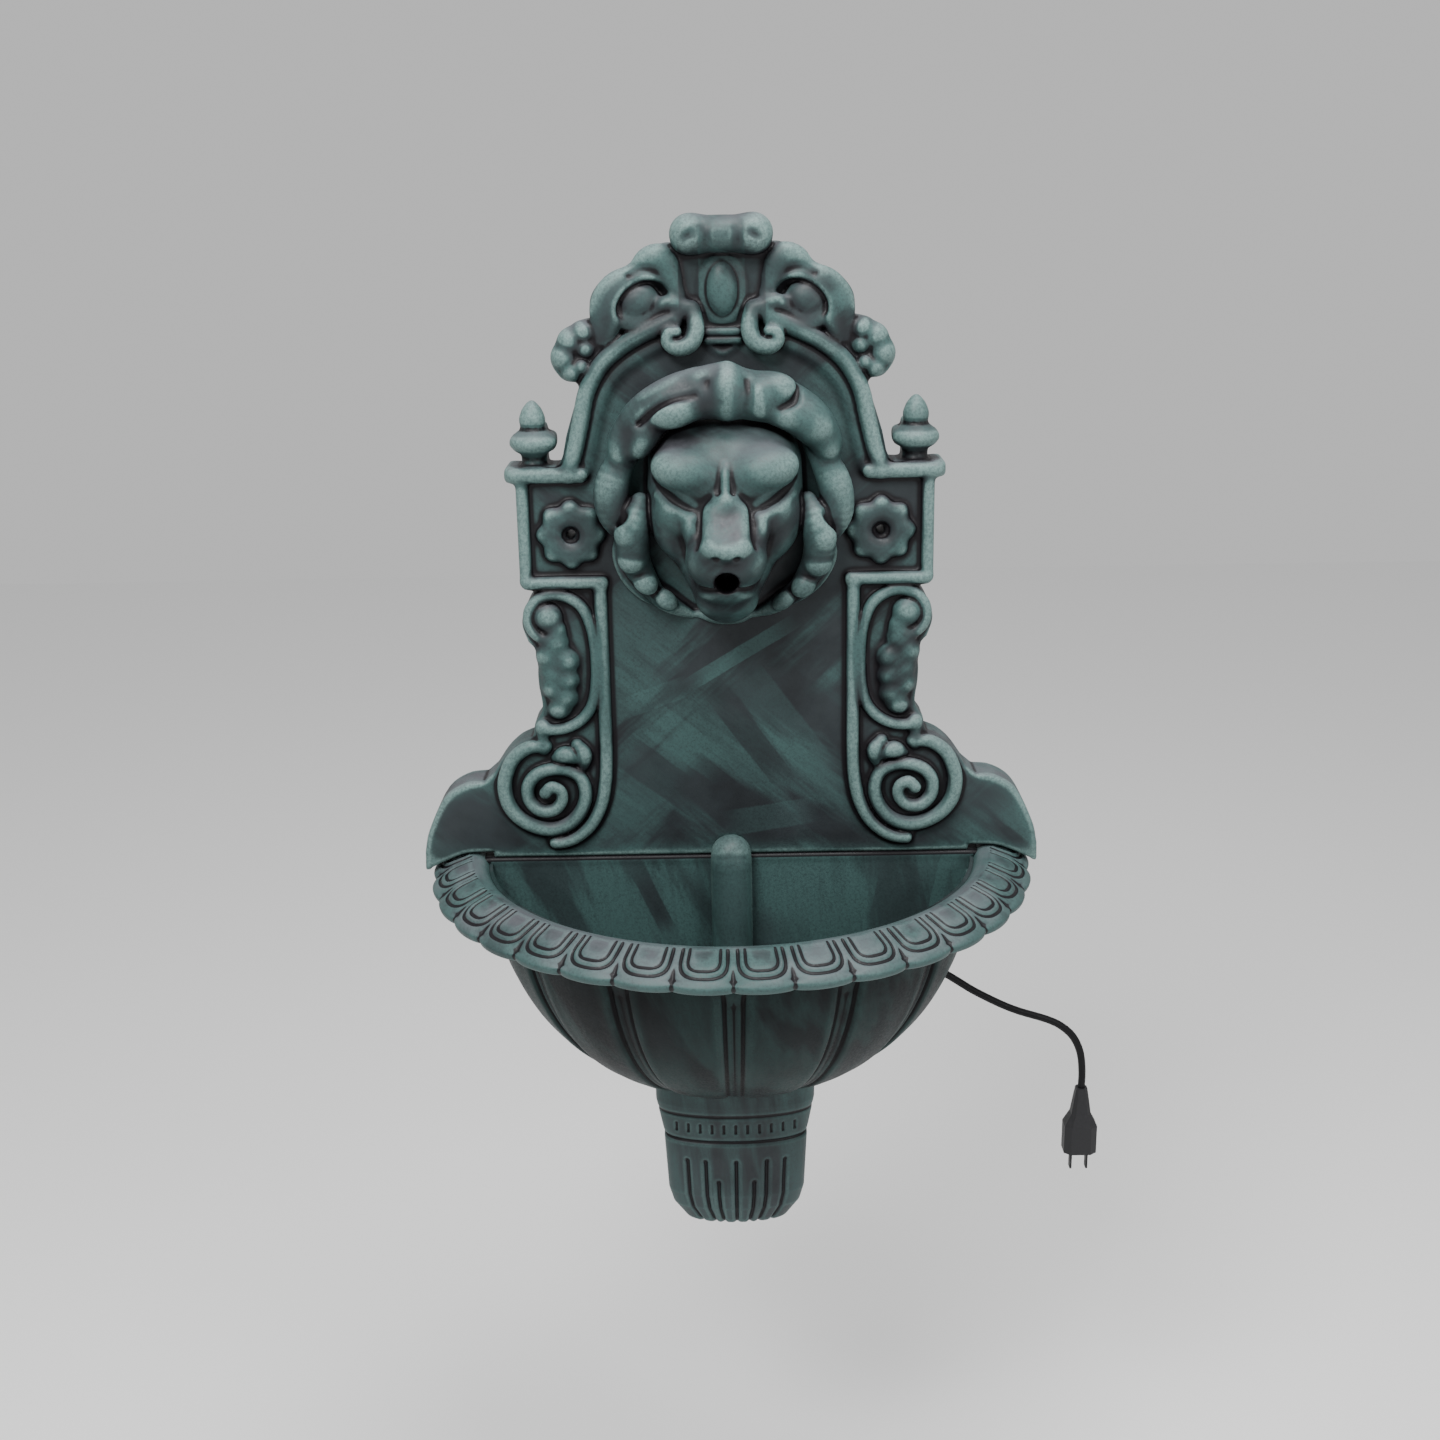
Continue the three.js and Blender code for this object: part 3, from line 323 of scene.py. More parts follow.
class Slab:
    """A flat outline raised from one distance off the wall to another, with rounded edges."""

    def __init__(self, outline, near, far, rounding=2.0):
        self.outline = np.array(outline, float)
        self.near, self.far, self.rounding = near, far, rounding
        low, high = self.outline.min(0), self.outline.max(0)
        self.low = np.array([low[0], -far, low[1]]) - 1
        self.high = np.array([high[0], -near, high[1]]) + 1

    def distance(self, x, y, z):
        flat = outline_distance(self.outline, x[:, 0, :], z[0, 0, :][None, :])
        flat = flat[:, None, :].astype(np.float32) + self.rounding
        deep = np.abs(y + (self.near + self.far) / 2) - (self.far - self.near) / 2 + self.rounding
        outside = np.sqrt(np.maximum(flat, 0) ** 2 + np.maximum(deep, 0) ** 2)
        return outside + np.minimum(np.maximum(flat, deep), 0) - self.rounding


class Turning:
    """A turned form about an upright line at x and off, from radii at heights."""

    def __init__(self, x, off, profile):
        self.x, self.off = x, off
        radii = [r for r, _ in profile]
        heights = [h for _, h in profile]
        right = list(zip(radii, heights))
        self.outline = np.array(right + [(-r, h) for r, h in reversed(right)], float)
        reach = max(radii) + 1
        self.low = np.array([x - reach, -off - reach, min(heights) - 1])
        self.high = np.array([x + reach, -off + reach, max(heights) + 1])

    def distance(self, x, y, z):
        radius = np.sqrt((x - self.x) ** 2 + (y + self.off) ** 2)
        shape = np.broadcast(radius, z).shape
        return outline_distance(
            self.outline, np.broadcast_to(radius, shape), np.broadcast_to(z, shape)
        ).astype(np.float32)


def both(block, forms, soft=3.0, cut=False):
    """Each form added or cut on the right side, and then on the left."""
    for make in forms:
        for side in (1, -1):
            if cut:
                block.cut(make(side), soft)
            else:
                block.add(make(side), soft)


def strand(points, flat=1.0):
    return lambda side: Strand([(side * x, off, z, radius) for x, off, z, radius in points], flat)


def ball(centre, radii, tilt=0.0, pitch=0.0):
    x, off, z = centre
    return lambda side: Ball((side * x, off, z), radii, side * tilt, pitch)


def carved(points, flat=1.0):
    """A strand whose second column counts from the plate's flat field."""
    return strand([(x, FIELD + rise, z, radius) for x, rise, z, radius in points], flat)


def knob(centre, radii, tilt=0.0):
    """A ball whose second number counts from the plate's flat field."""
    x, rise, z = centre
    return ball((x, FIELD + rise, z), radii, tilt)


def bead(points, radius, rise):
    return carved([(x, rise, z, radius) for x, z in points])


def ring_points(radius, count, centre_x=0.0):
    """Points of a flat circle at the height of the screws."""
    return [
        (centre_x + radius * math.sin(a), radius * math.cos(a))
        for a in np.linspace(0, 2 * math.pi, count, endpoint=False)
    ]


def surface_net(block):
    """The skin of a block, with a corner in each cell that the skin passes through."""
    field = block.field
    inside = field < 0
    corners = [(a, b, c) for a in (0, 1) for b in (0, 1) for c in (0, 1)]
    nx, ny, nz = field.shape
    held = np.zeros((nx - 1, ny - 1, nz - 1), np.int8)
    for a, b, c in corners:
        held += inside[a:nx - 1 + a, b:ny - 1 + b, c:nz - 1 + c]
    cells = np.argwhere((held > 0) & (held < 8))
    number = np.full(held.shape, -1, np.int64)
    number[tuple(cells.T)] = np.arange(len(cells))
    place = np.zeros((len(cells), 3))
    count = np.zeros(len(cells))
    for a in corners:
        for axis in range(3):
            if a[axis]:
                continue
            b = tuple(v + (i == axis) for i, v in enumerate(a))
            first = field[tuple((cells + a).T)]
            second = field[tuple((cells + b).T)]
            crossing = (first < 0) != (second < 0)
            gap = np.where(crossing, first - second, 1)
            share = np.where(crossing, first / gap, 0)
            place += crossing[:, None] * (np.array(a) + share[:, None] * (np.array(b) - np.array(a)))
            count += crossing
    vertices = block.low + block.step * (cells + place / count[:, None])
    quads = []
    for axis in range(3):
        u, v = (axis + 1) % 3, (axis + 2) % 3
        ahead = [slice(None)] * 3
        behind = [slice(None)] * 3
        ahead[axis] = slice(1, None)
        behind[axis] = slice(None, -1)
        change = inside[tuple(ahead)] != inside[tuple(behind)]
        points = np.argwhere(change)
        step_u = np.eye(3, dtype=int)[u]
        step_v = np.eye(3, dtype=int)[v]
        limit = np.array(held.shape)
        keep = np.all(points - step_u - step_v >= 0, 1) & np.all(points < limit, 1)
        points = points[keep]
        around = [points, points - step_u, points - step_u - step_v, points - step_v]
        face = np.stack([number[tuple(p.T)] for p in around], 1)
        starts_inside = inside[tuple(points.T)]
        face = np.where(starts_inside[:, None], face, face[:, ::-1])
        quads.append(face)
    return vertices, np.vstack(quads)


def neighbours(quads):
    edges = np.vstack([quads[:, [0, 1]], quads[:, [1, 2]], quads[:, [2, 3]], quads[:, [3, 0]]])
    return np.hstack([edges[:, 0], edges[:, 1]]), np.hstack([edges[:, 1], edges[:, 0]])


def averaged(vertices, a, b):
    """Each corner moved to the middle of its neighbours."""
    count = np.maximum(np.bincount(a, minlength=len(vertices)), 1)
    total = [np.bincount(a, vertices[b, axis], minlength=len(vertices)) for axis in range(3)]
    return np.stack(total, 1) / count[:, None]


def smoothed(vertices, quads, rounds):
    """Rounds of easing towards the neighbours, each with a step back that keeps the size."""
    a, b = neighbours(quads)
    for _ in range(rounds):
        for share in (0.5, -0.42):
            vertices = vertices + share * (averaged(vertices, a, b) - vertices)
    return vertices


def blurred(volume, reach):
    """A box blur along each axis in turn, done twice."""
    for _ in range(2):
        for axis in range(3):
            pad = [(0, 0)] * 3
            pad[axis] = (reach + 1, reach)
            total = np.cumsum(np.pad(volume, pad, mode="edge"), axis, dtype=np.float32)
            size = volume.shape[axis]
            high = np.take(total, np.arange(2 * reach + 1, 2 * reach + 1 + size), axis)
            low = np.take(total, np.arange(0, size), axis)
            volume = (high - low) / (2 * reach + 1)
    return volume


# How much of the room around a point is solid, on a flat and in a hollow, and how far it is looked at
FLAT = 0.5
HOLLOW = 0.62
FINE_REACH = 2.4
BROAD_REACH = 8.0
# Height of the band under a seam that gets painted shade instead of wear and painted highlight
SEAM_SHADE_BAND = 11.0


def cavity_of(block, vertices, reach_mm):
    """How much of the room around each point is solid: half on a flat, more in a hollow."""
    field = block.field if block.full is None else block.full
    solid = np.clip(0.5 - field / block.step, 0, 1).astype(np.float32)
    reach = max(int(round(reach_mm / block.step)), 1)
    soft = blurred(solid, reach)
    at = (vertices - block.low) / block.step
    first = np.clip(np.floor(at).astype(int), 0, np.array(soft.shape) - 2)
    share = np.clip(at - first, 0, 1)
    total = np.zeros(len(vertices))
    for corner in np.ndindex(2, 2, 2):
        weight = np.prod(np.where(corner, share, 1 - share), 1)
        total += weight * soft[tuple((first + corner).T)]
    return total


def make_mesh(name, vertices, quads, slot, replaced, **channels):
    """A piece from corners in millimetres and quads, with named values at its corners."""
    mesh = bpy.data.meshes.new(name)
    vertices = np.asarray(vertices, np.float32)
    quads = np.asarray(quads, np.int32)
    mesh.vertices.add(len(vertices))
    mesh.vertices.foreach_set("co", (vertices * MM).ravel())
    mesh.loops.add(quads.size)
    mesh.loops.foreach_set("vertex_index", quads.ravel())
    mesh.polygons.add(len(quads))
    mesh.polygons.foreach_set("loop_start", np.arange(0, quads.size, 4, dtype=np.int32))
    mesh.update(calc_edges=True)
    mesh.validate()
    mesh.polygons.foreach_set("use_smooth", np.ones(len(mesh.polygons), bool))
    for channel, values in channels.items():
        layer = mesh.attributes.new(channel, "FLOAT", "POINT")
        layer.data.foreach_set("value", np.asarray(values, np.float32))
    piece = bpy.data.objects.new(name, mesh)
    bpy.context.scene.collection.objects.link(piece)
    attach(piece, "root")
    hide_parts(*replaced)
    return piece


def thin_out(piece, ratio):
    """Fewer faces where the skin is flat."""
    modifier = piece.modifiers.new("thin", "DECIMATE")
    modifier.ratio = ratio
    graph = bpy.context.evaluated_depsgraph_get()
    mesh = bpy.data.meshes.new_from_object(piece.evaluated_get(graph), depsgraph=graph)
    piece.modifiers.clear()
    piece.data = mesh
    mesh.polygons.foreach_set("use_smooth", np.ones(len(mesh.polygons), bool))


def piece_from_block(name, block, slot, replaced, ratio=1.0, seam=None):
    """A block's skin as a piece. Above a seam all gets painted shadow, and under it a narrow band gets
    painted shade, with no pale wear or painted highlight.
    """
    vertices, quads = surface_net(block)
    vertices = smoothed(vertices, quads, 2)
    cavity = cavity_of(block, vertices, FINE_REACH)
    depth = cavity_of(block, vertices, BROAD_REACH)
    # Painted shade at a seam: the band below it gets no wear or painted highlight, and above it the cavity
    # is set to a hollow's, which paints it black as shadow
    if seam is not None:
        near = vertices[:, 2] > seam - SEAM_SHADE_BAND
        depth = np.where(near, np.maximum(depth, FLAT), depth)
        cavity = np.where(near, np.maximum(cavity, FLAT), cavity)
        cavity = np.where(vertices[:, 2] > seam, HOLLOW, cavity)
    piece = make_mesh(name, vertices, quads, slot, replaced, cavity=cavity, depth=depth)
    if ratio < 1:
        thin_out(piece, ratio)
    return piece


# Plate
OUTLINE = [
    [(0, -248), (180, -248)],
    [(180, -243.5), (200, -244.5), (213, -249), (222, -253), (228, -256)],
    [(229, -257.5), (232.5, -257.5)],
    [(232, -243), (228, -226), (215, -200), (199, -189), (184, -187)],
    [(176, -180), (167, -167), (157, -158), (146, -153)],
    [(144, -142), (138, -132), (139, -118), (140, -106), (138, -88)],
    [(146, -80), (150, -66), (146, -52), (139, -42)],
    [(148, -41), (149, 35), (154, 41), (155, 48)],
    [(118, 49), (115, 56)],
    [(112, 70), (107, 86), (101, 103)],
    [(104, 109), (113, 110), (119.5, 120), (117, 134), (106, 146), (96, 149.5)],
    [(91, 150), (91, 166), (80, 179), (62, 185), (52, 192), (42, 200), (32, 200.5)],
    [(26, 196), (31, 203), (32, 212), (25, 219), (15, 219)],
    [(13, 217), (0, 217.5)],
]


def plate_outline():
    right = []
    for run in OUTLINE:
        right += [tuple(p) for p in (smooth_line(run, 4) if len(run) > 2 else run)]
    left = [(-x, z) for x, z in reversed(right[1:-1])]
    return right + left


def add_arch(block):
    outer = [
        (111, 44), (106, 60), (101, 80), (96, 101), (86, 119), (72, 131.5), (57, 140), (45, 145), (34, 149),
    ]
    inner = [(100, 46), (97, 60), (92, 80), (86, 99), (76, 113), (63, 123.5), (48, 131.5), (35, 137)]
    both(block, [bead(inner, 4.6, -1.6)], 5)
    both(block, [bead(outer, 6.2, 3)], 3)


def add_crest(block):
    upper_leaf = [
        (58, -1, 184, 6), (50, 0, 189, 10), (42, 1, 190, 10.5), (37, 1, 181, 8.5),
        (33, 1, 168, 6.5), (27, 1, 155, 6),
    ]
    upper_ridge = [
        (61, 1, 177, 3), (54, 3, 179, 3.6), (47, 4, 177, 4), (42, 4, 170, 4),
        (37, 4, 161, 3.6), (31, 4, 153, 3),
    ]
    outer_leaf = [
        (50, -1, 183, 5), (62, 1, 178, 9), (73, 2, 171, 11.5), (80, 2, 160, 11.5),
        (82, 1, 148, 10), (86, -1, 138, 8), (92, -3, 129, 6),
    ]
    outer_ridge = [
        (60, 2, 174, 3), (68, 4, 169, 4.4), (73, 5, 161, 5), (74, 5, 151, 5),
        (77, 4, 143, 4.4), (81, 2, 136, 3),
    ]
    groove = [
        (64, 7, 180, 1), (55, 8, 184, 1.8), (47, 8, 182.5, 2.2), (40, 8, 174, 2.2), (35, 7, 163, 1.6),
        (30, 7, 154, 1),
    ]
    both(block, [carved(upper_leaf, 0.62), carved(outer_leaf, 0.62)])
    both(block, [carved(upper_ridge), carved(outer_ridge)], 4)
    both(block, [carved(groove)], 4, cut=True)
    both(block, [knob((55, 6, 162), (19.5, 15, 13), 0.5)], cut=True)
    volute = [
        (21, 2, 157, 5.5), (19, 5, 149, 6), (19, 7, 141, 6.4), (23, 8, 134, 6.6),
        (31, 8, 131.5, 6.4), (37.5, 8, 135, 5.4), (37, 9, 141, 4.6), (32, 9, 142, 4),
    ]
    hem = [(25, 3, 158, 4.5), (36, 3, 151, 5), (50, 2, 147, 4.6), (64, 2, 147, 5), (73, 1, 151, 4.6)]
    lip = [(43, 1, 158, 3), (54, 3, 151.5, 3), (66, 3, 152, 3), (72, 1, 158, 2.6)]
    leaflet = [(27, 2, 157, 6), (34, 3, 161, 5.5), (41, 2, 160, 5.5), (46, -1, 154, 4.5)]
    both(block, [knob((59, -2, 162), (15, 10, 13), 0.5), knob((52, -4, 155), (7, 8, 6))], 2)
    both(block, [knob((66, -5, 169), (6, 7, 6)), knob((47, -3, 163), (5, 7, 5))], 2)
    both(block, [carved(leaflet), carved(hem), carved(lip), carved(volute)], 2.5)
    both(block, [carved([(35, 11, 168, 1), (38, 11, 162, 1.4), (38, 9, 156, 1)])], cut=True)
    fruit = [(97, 142, 8), (106, 136, 9.5), (111, 125, 9.5), (106, 115.5, 7.5), (96, 131, 7), (99, 119, 6)]
    both(block, [knob((x, -2, z), (r, 10.5, r)) for x, z, r in fruit])
    add_crest_middle(block)


def add_crest_middle(block):
    """The roll on top, the oval in its ring, and the small bars under it."""
    block.add(carved([(-22, 5.5, 207, 12), (0, 6.5, 207, 12.6), (22, 5.5, 207, 12)])(1), 3)
    both(block, [knob((21.5, 5.6, 207.2), (12.2, 12.2, 12.4))], 7)
    both(block, [knob((24.5, 20, 206.5), (5, 1.8, 2), 0.5)], 5, cut=True)
    both(block, [carved([(11, 19, 219, 1), (11.5, 20.4, 208, 1), (11, 18, 197, 1)])], 6, cut=True)
    ring = [
        (13.2 * math.sin(a), -0.5, 170 + 21.5 * math.cos(a), 2.6) for a in np.linspace(0, 2 * math.pi, 17)
    ]
    block.add(carved(ring)(1), 3)
    block.add(knob((0, -2, 170), (12.4, 10, 20.6))(1), 1.5)
    block.add(carved([(-14, 1, 141, 2.8), (14, 1, 141, 2.8)])(1), 2)
    block.add(carved([(-11, 1, 135, 2.6), (11, 1, 135, 2.6)])(1), 2)
    block.add(carved([(-9, -1, 131, 2), (0, -1, 126, 2), (9, -1, 131, 2)])(1), 2)


FINIAL_X = 136.0


def add_finials(block):
    profile = [
        (11, 43), (11.5, 47), (8, 50), (6.5, 54), (9, 57), (14, 60), (17, 64), (16.5, 68), (12, 72),
        (8.5, 74.5), (8, 76), (9.3, 79), (9.3, 83), (7, 89), (3, 94), (0, 95.5),
    ]
    both(block, [lambda side: Turning(side * FINIAL_X, FIELD - 7, profile)], 2)
    both(block, [
        lambda side: Brick((side * FINIAL_X, 14, 60), (9, 13, 18), rounding=4),
        lambda side: Brick((side * FINIAL_X, 13, 65), (15.5, 12, 6), rounding=4),
    ])


PETALS = 8


def add_blocks(block):
    """The square blocks with their lips, and a rosette around each screw hole."""
    lip = [(103, 4, 43, 5.5), (130, 4, 43, 5.5), (150, 3, 43, 5.5)]
    edge = [(145, 2, 36, 4.4), (145, 2, 0, 4.4), (145, 2, -33, 4.4)]
    foot = [(90, 3, -35, 4.6), (120, 3, -35, 4.6), (144, 3, -35, 4.6)]
    deep = FIELD / 2 + 1.5
    both(block, [carved(lip), carved(edge), carved(foot)])
    both(block, [lambda side: Brick((side * 152, deep, 43), (5, deep, 5.5), rounding=3)])
    rosette = []
    for a in np.linspace(0, 2 * math.pi, 64, endpoint=False):
        reach = 22 + 2.4 * math.cos(PETALS * a)
        rosette.append((SCREW_X + reach * math.sin(a), reach * math.cos(a)))
    both(block, [lambda side: Slab([(side * x, z) for x, z in rosette], FIELD - 4, FIELD + 5.5, 4)])
    for x, z in ring_points(15, PETALS, SCREW_X):
        both(block, [knob((x, 2.6, z), (7.5, 4.2, 7.5))], 5)
    both(block, [knob((SCREW_X, 9, 0), (8, 3.6, 8))], 4, cut=True)


def add_scrolls(block):
    both(block, [bead([
        (91.5, -38), (91.5, -60), (91.5, -90), (91.5, -125), (91.5, -165), (93, -188), (97, -206),
        (105, -221), (115, -230), (124, -234), (132, -235),
    ], 4.8, 3)])
    both(block, [bead([
        (139, -144), (131, -146), (120, -144.5), (109, -138.5), (101, -128), (97.5, -114), (96.5, -98),
        (97, -82), (99.5, -67), (105, -54), (114, -46.5), (125, -43.5), (136, -46.5), (143, -54),
        (144.5, -63), (141.5, -71), (135, -76), (128, -75), (123, -69),
    ], 4.2, 3)], 2.5)
    both(block, [knob((131, 1, -60), (11, 9.5, 10.5))], 2)
    both(block, [bead([(137, -143), (138, -152), (138, -161)], 4.4, 1)])
    both(block, [carved([
        (136, 2, -159, 4.4), (149, 3, -159.5, 5), (160, 3, -167, 5.2), (166, 3, -178, 5.4),
        (168.5, 3, -190, 5.6), (166, 3, -204, 5.6), (158, 3, -215, 5.6), (146, 3, -222, 5.6),
        (133, 3, -224, 5.6), (120, 3, -219, 5.4), (111, 3, -208, 5.2), (108, 3, -195, 5),
        (112, 3, -183, 4.8), (122, 3, -177.5, 4.6), (134, 4, -176.5, 4.8), (145, 4, -181, 5),
        (151, 4, -190, 5), (150, 4, -201, 5), (142, 5, -208.5, 5), (132, 5, -208, 4.8),
        (126, 5, -201, 4.6), (126.5, 6, -193, 4.4), (133, 7, -189.5, 4.6), (138, 7, -194, 4.6),
    ])], 2)
    leaves = [
        (126, -80, 9.6, 10.6), (131, -90, 9.6, 10.1), (119, -94, 9.6, 10.1), (128, -103, 9.6, 10.6),
        (119, -108, 9.1, 9.1), (129, -114, 8.1, 8.6), (121, -121, 9.6, 9.6), (125, -130, 8.1, 7.6),
    ]
    both(block, [knob((x, 0, z), (half, 10, tall), 0.3) for x, z, half, tall in leaves], 4.5)
    both(block, [carved([(130, 1, -62, 8), (125, 1, -72, 7), (127, 0, -84, 7)])])
    both(block, [carved([(110, 0, -176, 4), (108, 3, -166, 6), (113, 2, -158, 4.5)])], 2)
    both(block, [carved([(113, 2, -168, 5), (122, 4, -165, 6.5), (129, 1, -168, 4)])], 1.5)


def hollow_plate(block):
    """The room behind the field, the shoulders and the arch, and a boss around each screw hole."""
    front = FIELD - WALL
    block.cut(Brick((0, front / 2 - 4, -104.5), (132, front / 2 + 4, 138.5), rounding=3), 2)
    for side in (1, -1):
        block.cut(Brick((side * 165.5, front / 2 - 4, -220), (45.5, front / 2 + 4, 18), rounding=3), 2)
    arch = [(104, 20), (104, 30)]
    arch += [tuple(p) for p in smooth_line([(104, 30), (98, 78), (80, 116), (50, 140)], 4)]
    arch += [(-x, z) for x, z in reversed(arch)]
    block.cut(Slab(arch, -8, front, 3), 2)
    for side in (1, -1):
        block.add(Slab(ring_points(12, 23, side * SCREW_X), 0, FIELD - 2, 0.8), 1.5)


def drill_plate(block):
    """The screw holes with their sinks, and the slots for the hose and the basin's hooks."""
    for side in (1, -1):
        for radius, near, far in ((3.25, -5, 60), (6, 35, 60)):
            block.cut(Slab(ring_points(radius, 20, side * SCREW_X), near, far, 0.3), 1)
    block.cut(Brick((0, FIELD - 4, -PLATE_DROP), (7, 12, 14), rounding=1), 1)
    for side in (1, -1):
        slot = Brick((side * HOOK_X, FIELD - WALL - 2.5, -PLATE_DROP), (25.5, 2.5, 6), rounding=0.5)
        block.cut(slot, 1)


def build_plate():
    block = Block((-237, -58, -259), (237, 3, 224), PLATE_STEP)
    block.add(Slab(plate_outline(), 0, FIELD, 3.0), 1)
    add_arch(block)
    add_crest(block)
    add_finials(block)
    add_blocks(block)
    add_scrolls(block)
    drill_plate(block)
    block.full = block.field.copy()
    hollow_plate(block)
    block.cut(Ball((0, 0, 12), (44, 60, 62)), 2)
    block.add(Brick((0, WALL / 2, 0), (SCREW_X, WALL / 2, 7), rounding=1), 1)
    drill_plate(block)
    return piece_from_block("plate_body", block, "plate", ["back_plate"], ratio=0.54)


# Lion mask
def add_face(block):
    block.add(Brick((0, 38, 36), (54, 41, 46), pitch=-0.08, rounding=32), 1)
    block.add(Strand([(0, 40, 30, 50), (0, 44, 8, 43), (0, 54, -16, 32), (0, 60, -38, 22)]), 10)
    both(block, [
        ball((25.5, 72, 51), (26, 21, 17), -0.2, 0.1),
        ball((29, 66, 22), (20, 20, 19), -0.3),
        ball((38, 54, 6), (13, 20, 22), 0.4),
    ], 7)
    block.add(Brick((0, 97.5, 11), (16.5, 12, 20.5), pitch=-0.72, rounding=8), 4)
    block.add(Ball((0, 90, 29), (10, 9, 10)), 6)
    block.add(Ball((0, 88, -10), (27, 27, 23)), 7)
    block.add(Ball((0, 107, 2), (17.5, 14, 9)), 4)
    both(block, [ball((14, 94, -7), (13, 17, 13), 0.3), ball((22, 84, 8), (7, 12, 17), 0.25)], 6)
    block.add(Ball((0, 84, -32), (19, 17, 9)), 9)
    block.add(Ball((0, 74, -42), (20, 16, 11)), 10)
    eye = [(52, 62, 44, 1.2), (45, 73, 38, 3.0), (36, 83, 31.5, 4.2), (26, 89, 27, 4.0), (19, 91, 25, 2.0)]
    lid = [(47, 68, 33, 1.6), (38, 77, 27, 2.2), (29, 84, 22, 2.6), (22, 88, 19.5, 2.6), (20, 88, 12, 1.6)]
    lips = [(7, 104, -26.5, 1.4), (14, 98, -27.5, 2.2), (21, 89, -29, 2.0), (27, 79, -31, 1.2)]
    both(block, [strand(eye)], cut=True)
    both(block, [strand(lid)], 4)
    both(block, [strand([(3.5, 92, 37, 1.6), (4.2, 93, 46, 2.4), (3.5, 90, 56, 1.4)])], 3.5, cut=True)
    block.add(Strand([(0, 81, 56, 1.2), (0, 87.5, 50, 1.8), (0, 90, 41, 2.4), (0, 93, 33, 3.4)]), 4)
    both(block, [strand([(18, 91, 27, 1.2), (19.5, 99, 14, 1.6), (20, 105, 3, 1.2)])], 4, cut=True)
    both(block, [ball((7.5, 118.5, -3), (3, 3, 1.8))], 2, cut=True)
    both(block, [strand(lips)], 4, cut=True)


def add_mane(block):
    block.add(Ball((0, 24, 22), (86, 19, 91)), 2)
    crown = [
        (-71, 46, 58, 7), (-68, 51, 67, 12), (-61, 55, 79, 14.5), (-50, 58, 89, 16), (-34, 60, 97, 16.5),
        (-16, 62, 101, 17), (2, 63, 103, 17.5), (20, 62, 100, 17), (36, 60, 96, 16.5), (50, 57, 89, 16),
        (62, 54, 79, 14), (70, 50, 68, 11), (73, 46, 60, 6),
    ]
    block.add(Strand(crown), 3)
    lobes = [
        ((2, 67, 104), (13, 17, 20), 0.0), ((-33, 72, 91), (18, 12, 11), -0.3),
        ((-38, 63, 107), (20, 9, 5), -0.5), ((-14, 66, 114), (12, 9, 6), -0.35),
        ((-71, 54, 66), (10, 13, 17), 0.25), ((-56, 62, 72), (10, 12, 15), 0.5),
        ((34, 66, 103), (17, 14, 13), 0.1), ((24, 76, 98), (7, 7, 11), -0.2),
        ((59, 63, 82), (20, 15, 14), 0.75), ((43, 70, 87), (14, 10, 9), 0.4),
        ((70, 56, 67), (10, 13, 15), -0.3),
    ]
    for place, radii, tilt in lobes:
        block.add(Ball(place, radii, tilt), 6)
    locks = [
        [
            (-66, 50, 60, 6), (-75, 52, 50, 10.5), (-80, 53, 34, 12.5), (-79, 51, 18, 11.5),
            (-73, 47, 5, 8), (-66, 43, -4, 4),
        ],
        [
            (-60, 54, 26, 7), (-63, 58, 14, 11), (-66, 56, 0, 12), (-65, 51, -16, 11),
            (-58, 45, -31, 8.5), (-48, 42, -43, 4),
        ],
        [(-74, 37, 0, 5), (-75, 37, -14, 7), (-70, 36, -29, 7.5), (-60, 34, -43, 6), (-48, 32, -52, 3.5)],
        [(-56, 40, -40, 5), (-46, 39, -48, 7), (-36, 36, -55, 5.5), (-26, 33, -60, 3)],
        [
            (62, 50, 62, 6), (70, 52, 52, 10), (77, 53, 36, 12), (79, 51, 18, 11.5),
            (75, 47, 4, 8.5), (69, 43, -6, 4),
        ],
        [
            (58, 55, 26, 6), (63, 59, 12, 10.5), (66, 57, -4, 11.5), (63, 51, -20, 10),
            (55, 45, -34, 7.5), (46, 42, -44, 4),
        ],
        [(73, 37, -4, 5), (72, 37, -18, 7.5), (65, 36, -33, 7), (54, 34, -45, 5.5), (42, 32, -53, 3.5)],
        [(50, 40, -40, 5), (41, 39, -49, 6.5), (31, 36, -56, 5), (22, 33, -60, 3)],
        [(-20, 33, -60, 3), (-8, 34, -63, 4.5), (8, 34, -63, 4.5), (18, 33, -60, 3)],
    ]
    for points in locks:
        block.add(Strand(points), 3.5)
    curls = [
        ((-69, 60, 5), (10, 9.5, 11), 0.1), ((-67, 56, -15), (10, 9.5, 9.5), 0.4),
        ((-58, 52, -32), (10, 8, 8), 0.8), ((-44, 46, -46), (9.5, 7, 6.5), 0.7),
        ((68, 61, 1), (10, 9.5, 11.5), -0.1), ((65, 56, -19), (10, 9.5, 9.5), -0.4),
        ((55, 51, -36), (10, 8, 8), -0.8), ((41, 46, -48), (9.5, 7, 6), -0.7),
    ]
    for place, radii, tilt in curls:
        block.add(Ball(place, radii, tilt), 1.8)
    creases = [
        [(-12, 80, 112, 1.2), (-11, 85, 102, 2.0), (-8, 84, 92, 1.4)],
        [(-3, 87, 97, 1.2), (-3, 88, 90, 1.6)],
        [(16, 78, 113, 1.2), (17, 84, 102, 1.8), (15, 84, 92, 1.4)],
        [(51, 62, 108, 1.2), (48, 74, 98, 2.2), (39, 80, 93, 1.6)],
        [(-20, 80, 103, 1.0), (-35, 79, 100, 1.6), (-48, 75, 92, 1.6), (-58, 70, 83, 1)],
        [(-70, 64, 18, 1), (-74, 60, 8, 1.6), (-72, 54, -4, 1)],
        [(70, 65, 16, 1), (74, 60, 6, 1.6), (72, 54, -6, 1)],
    ]
    for points in creases:
        block.cut(Strand(points), 5)


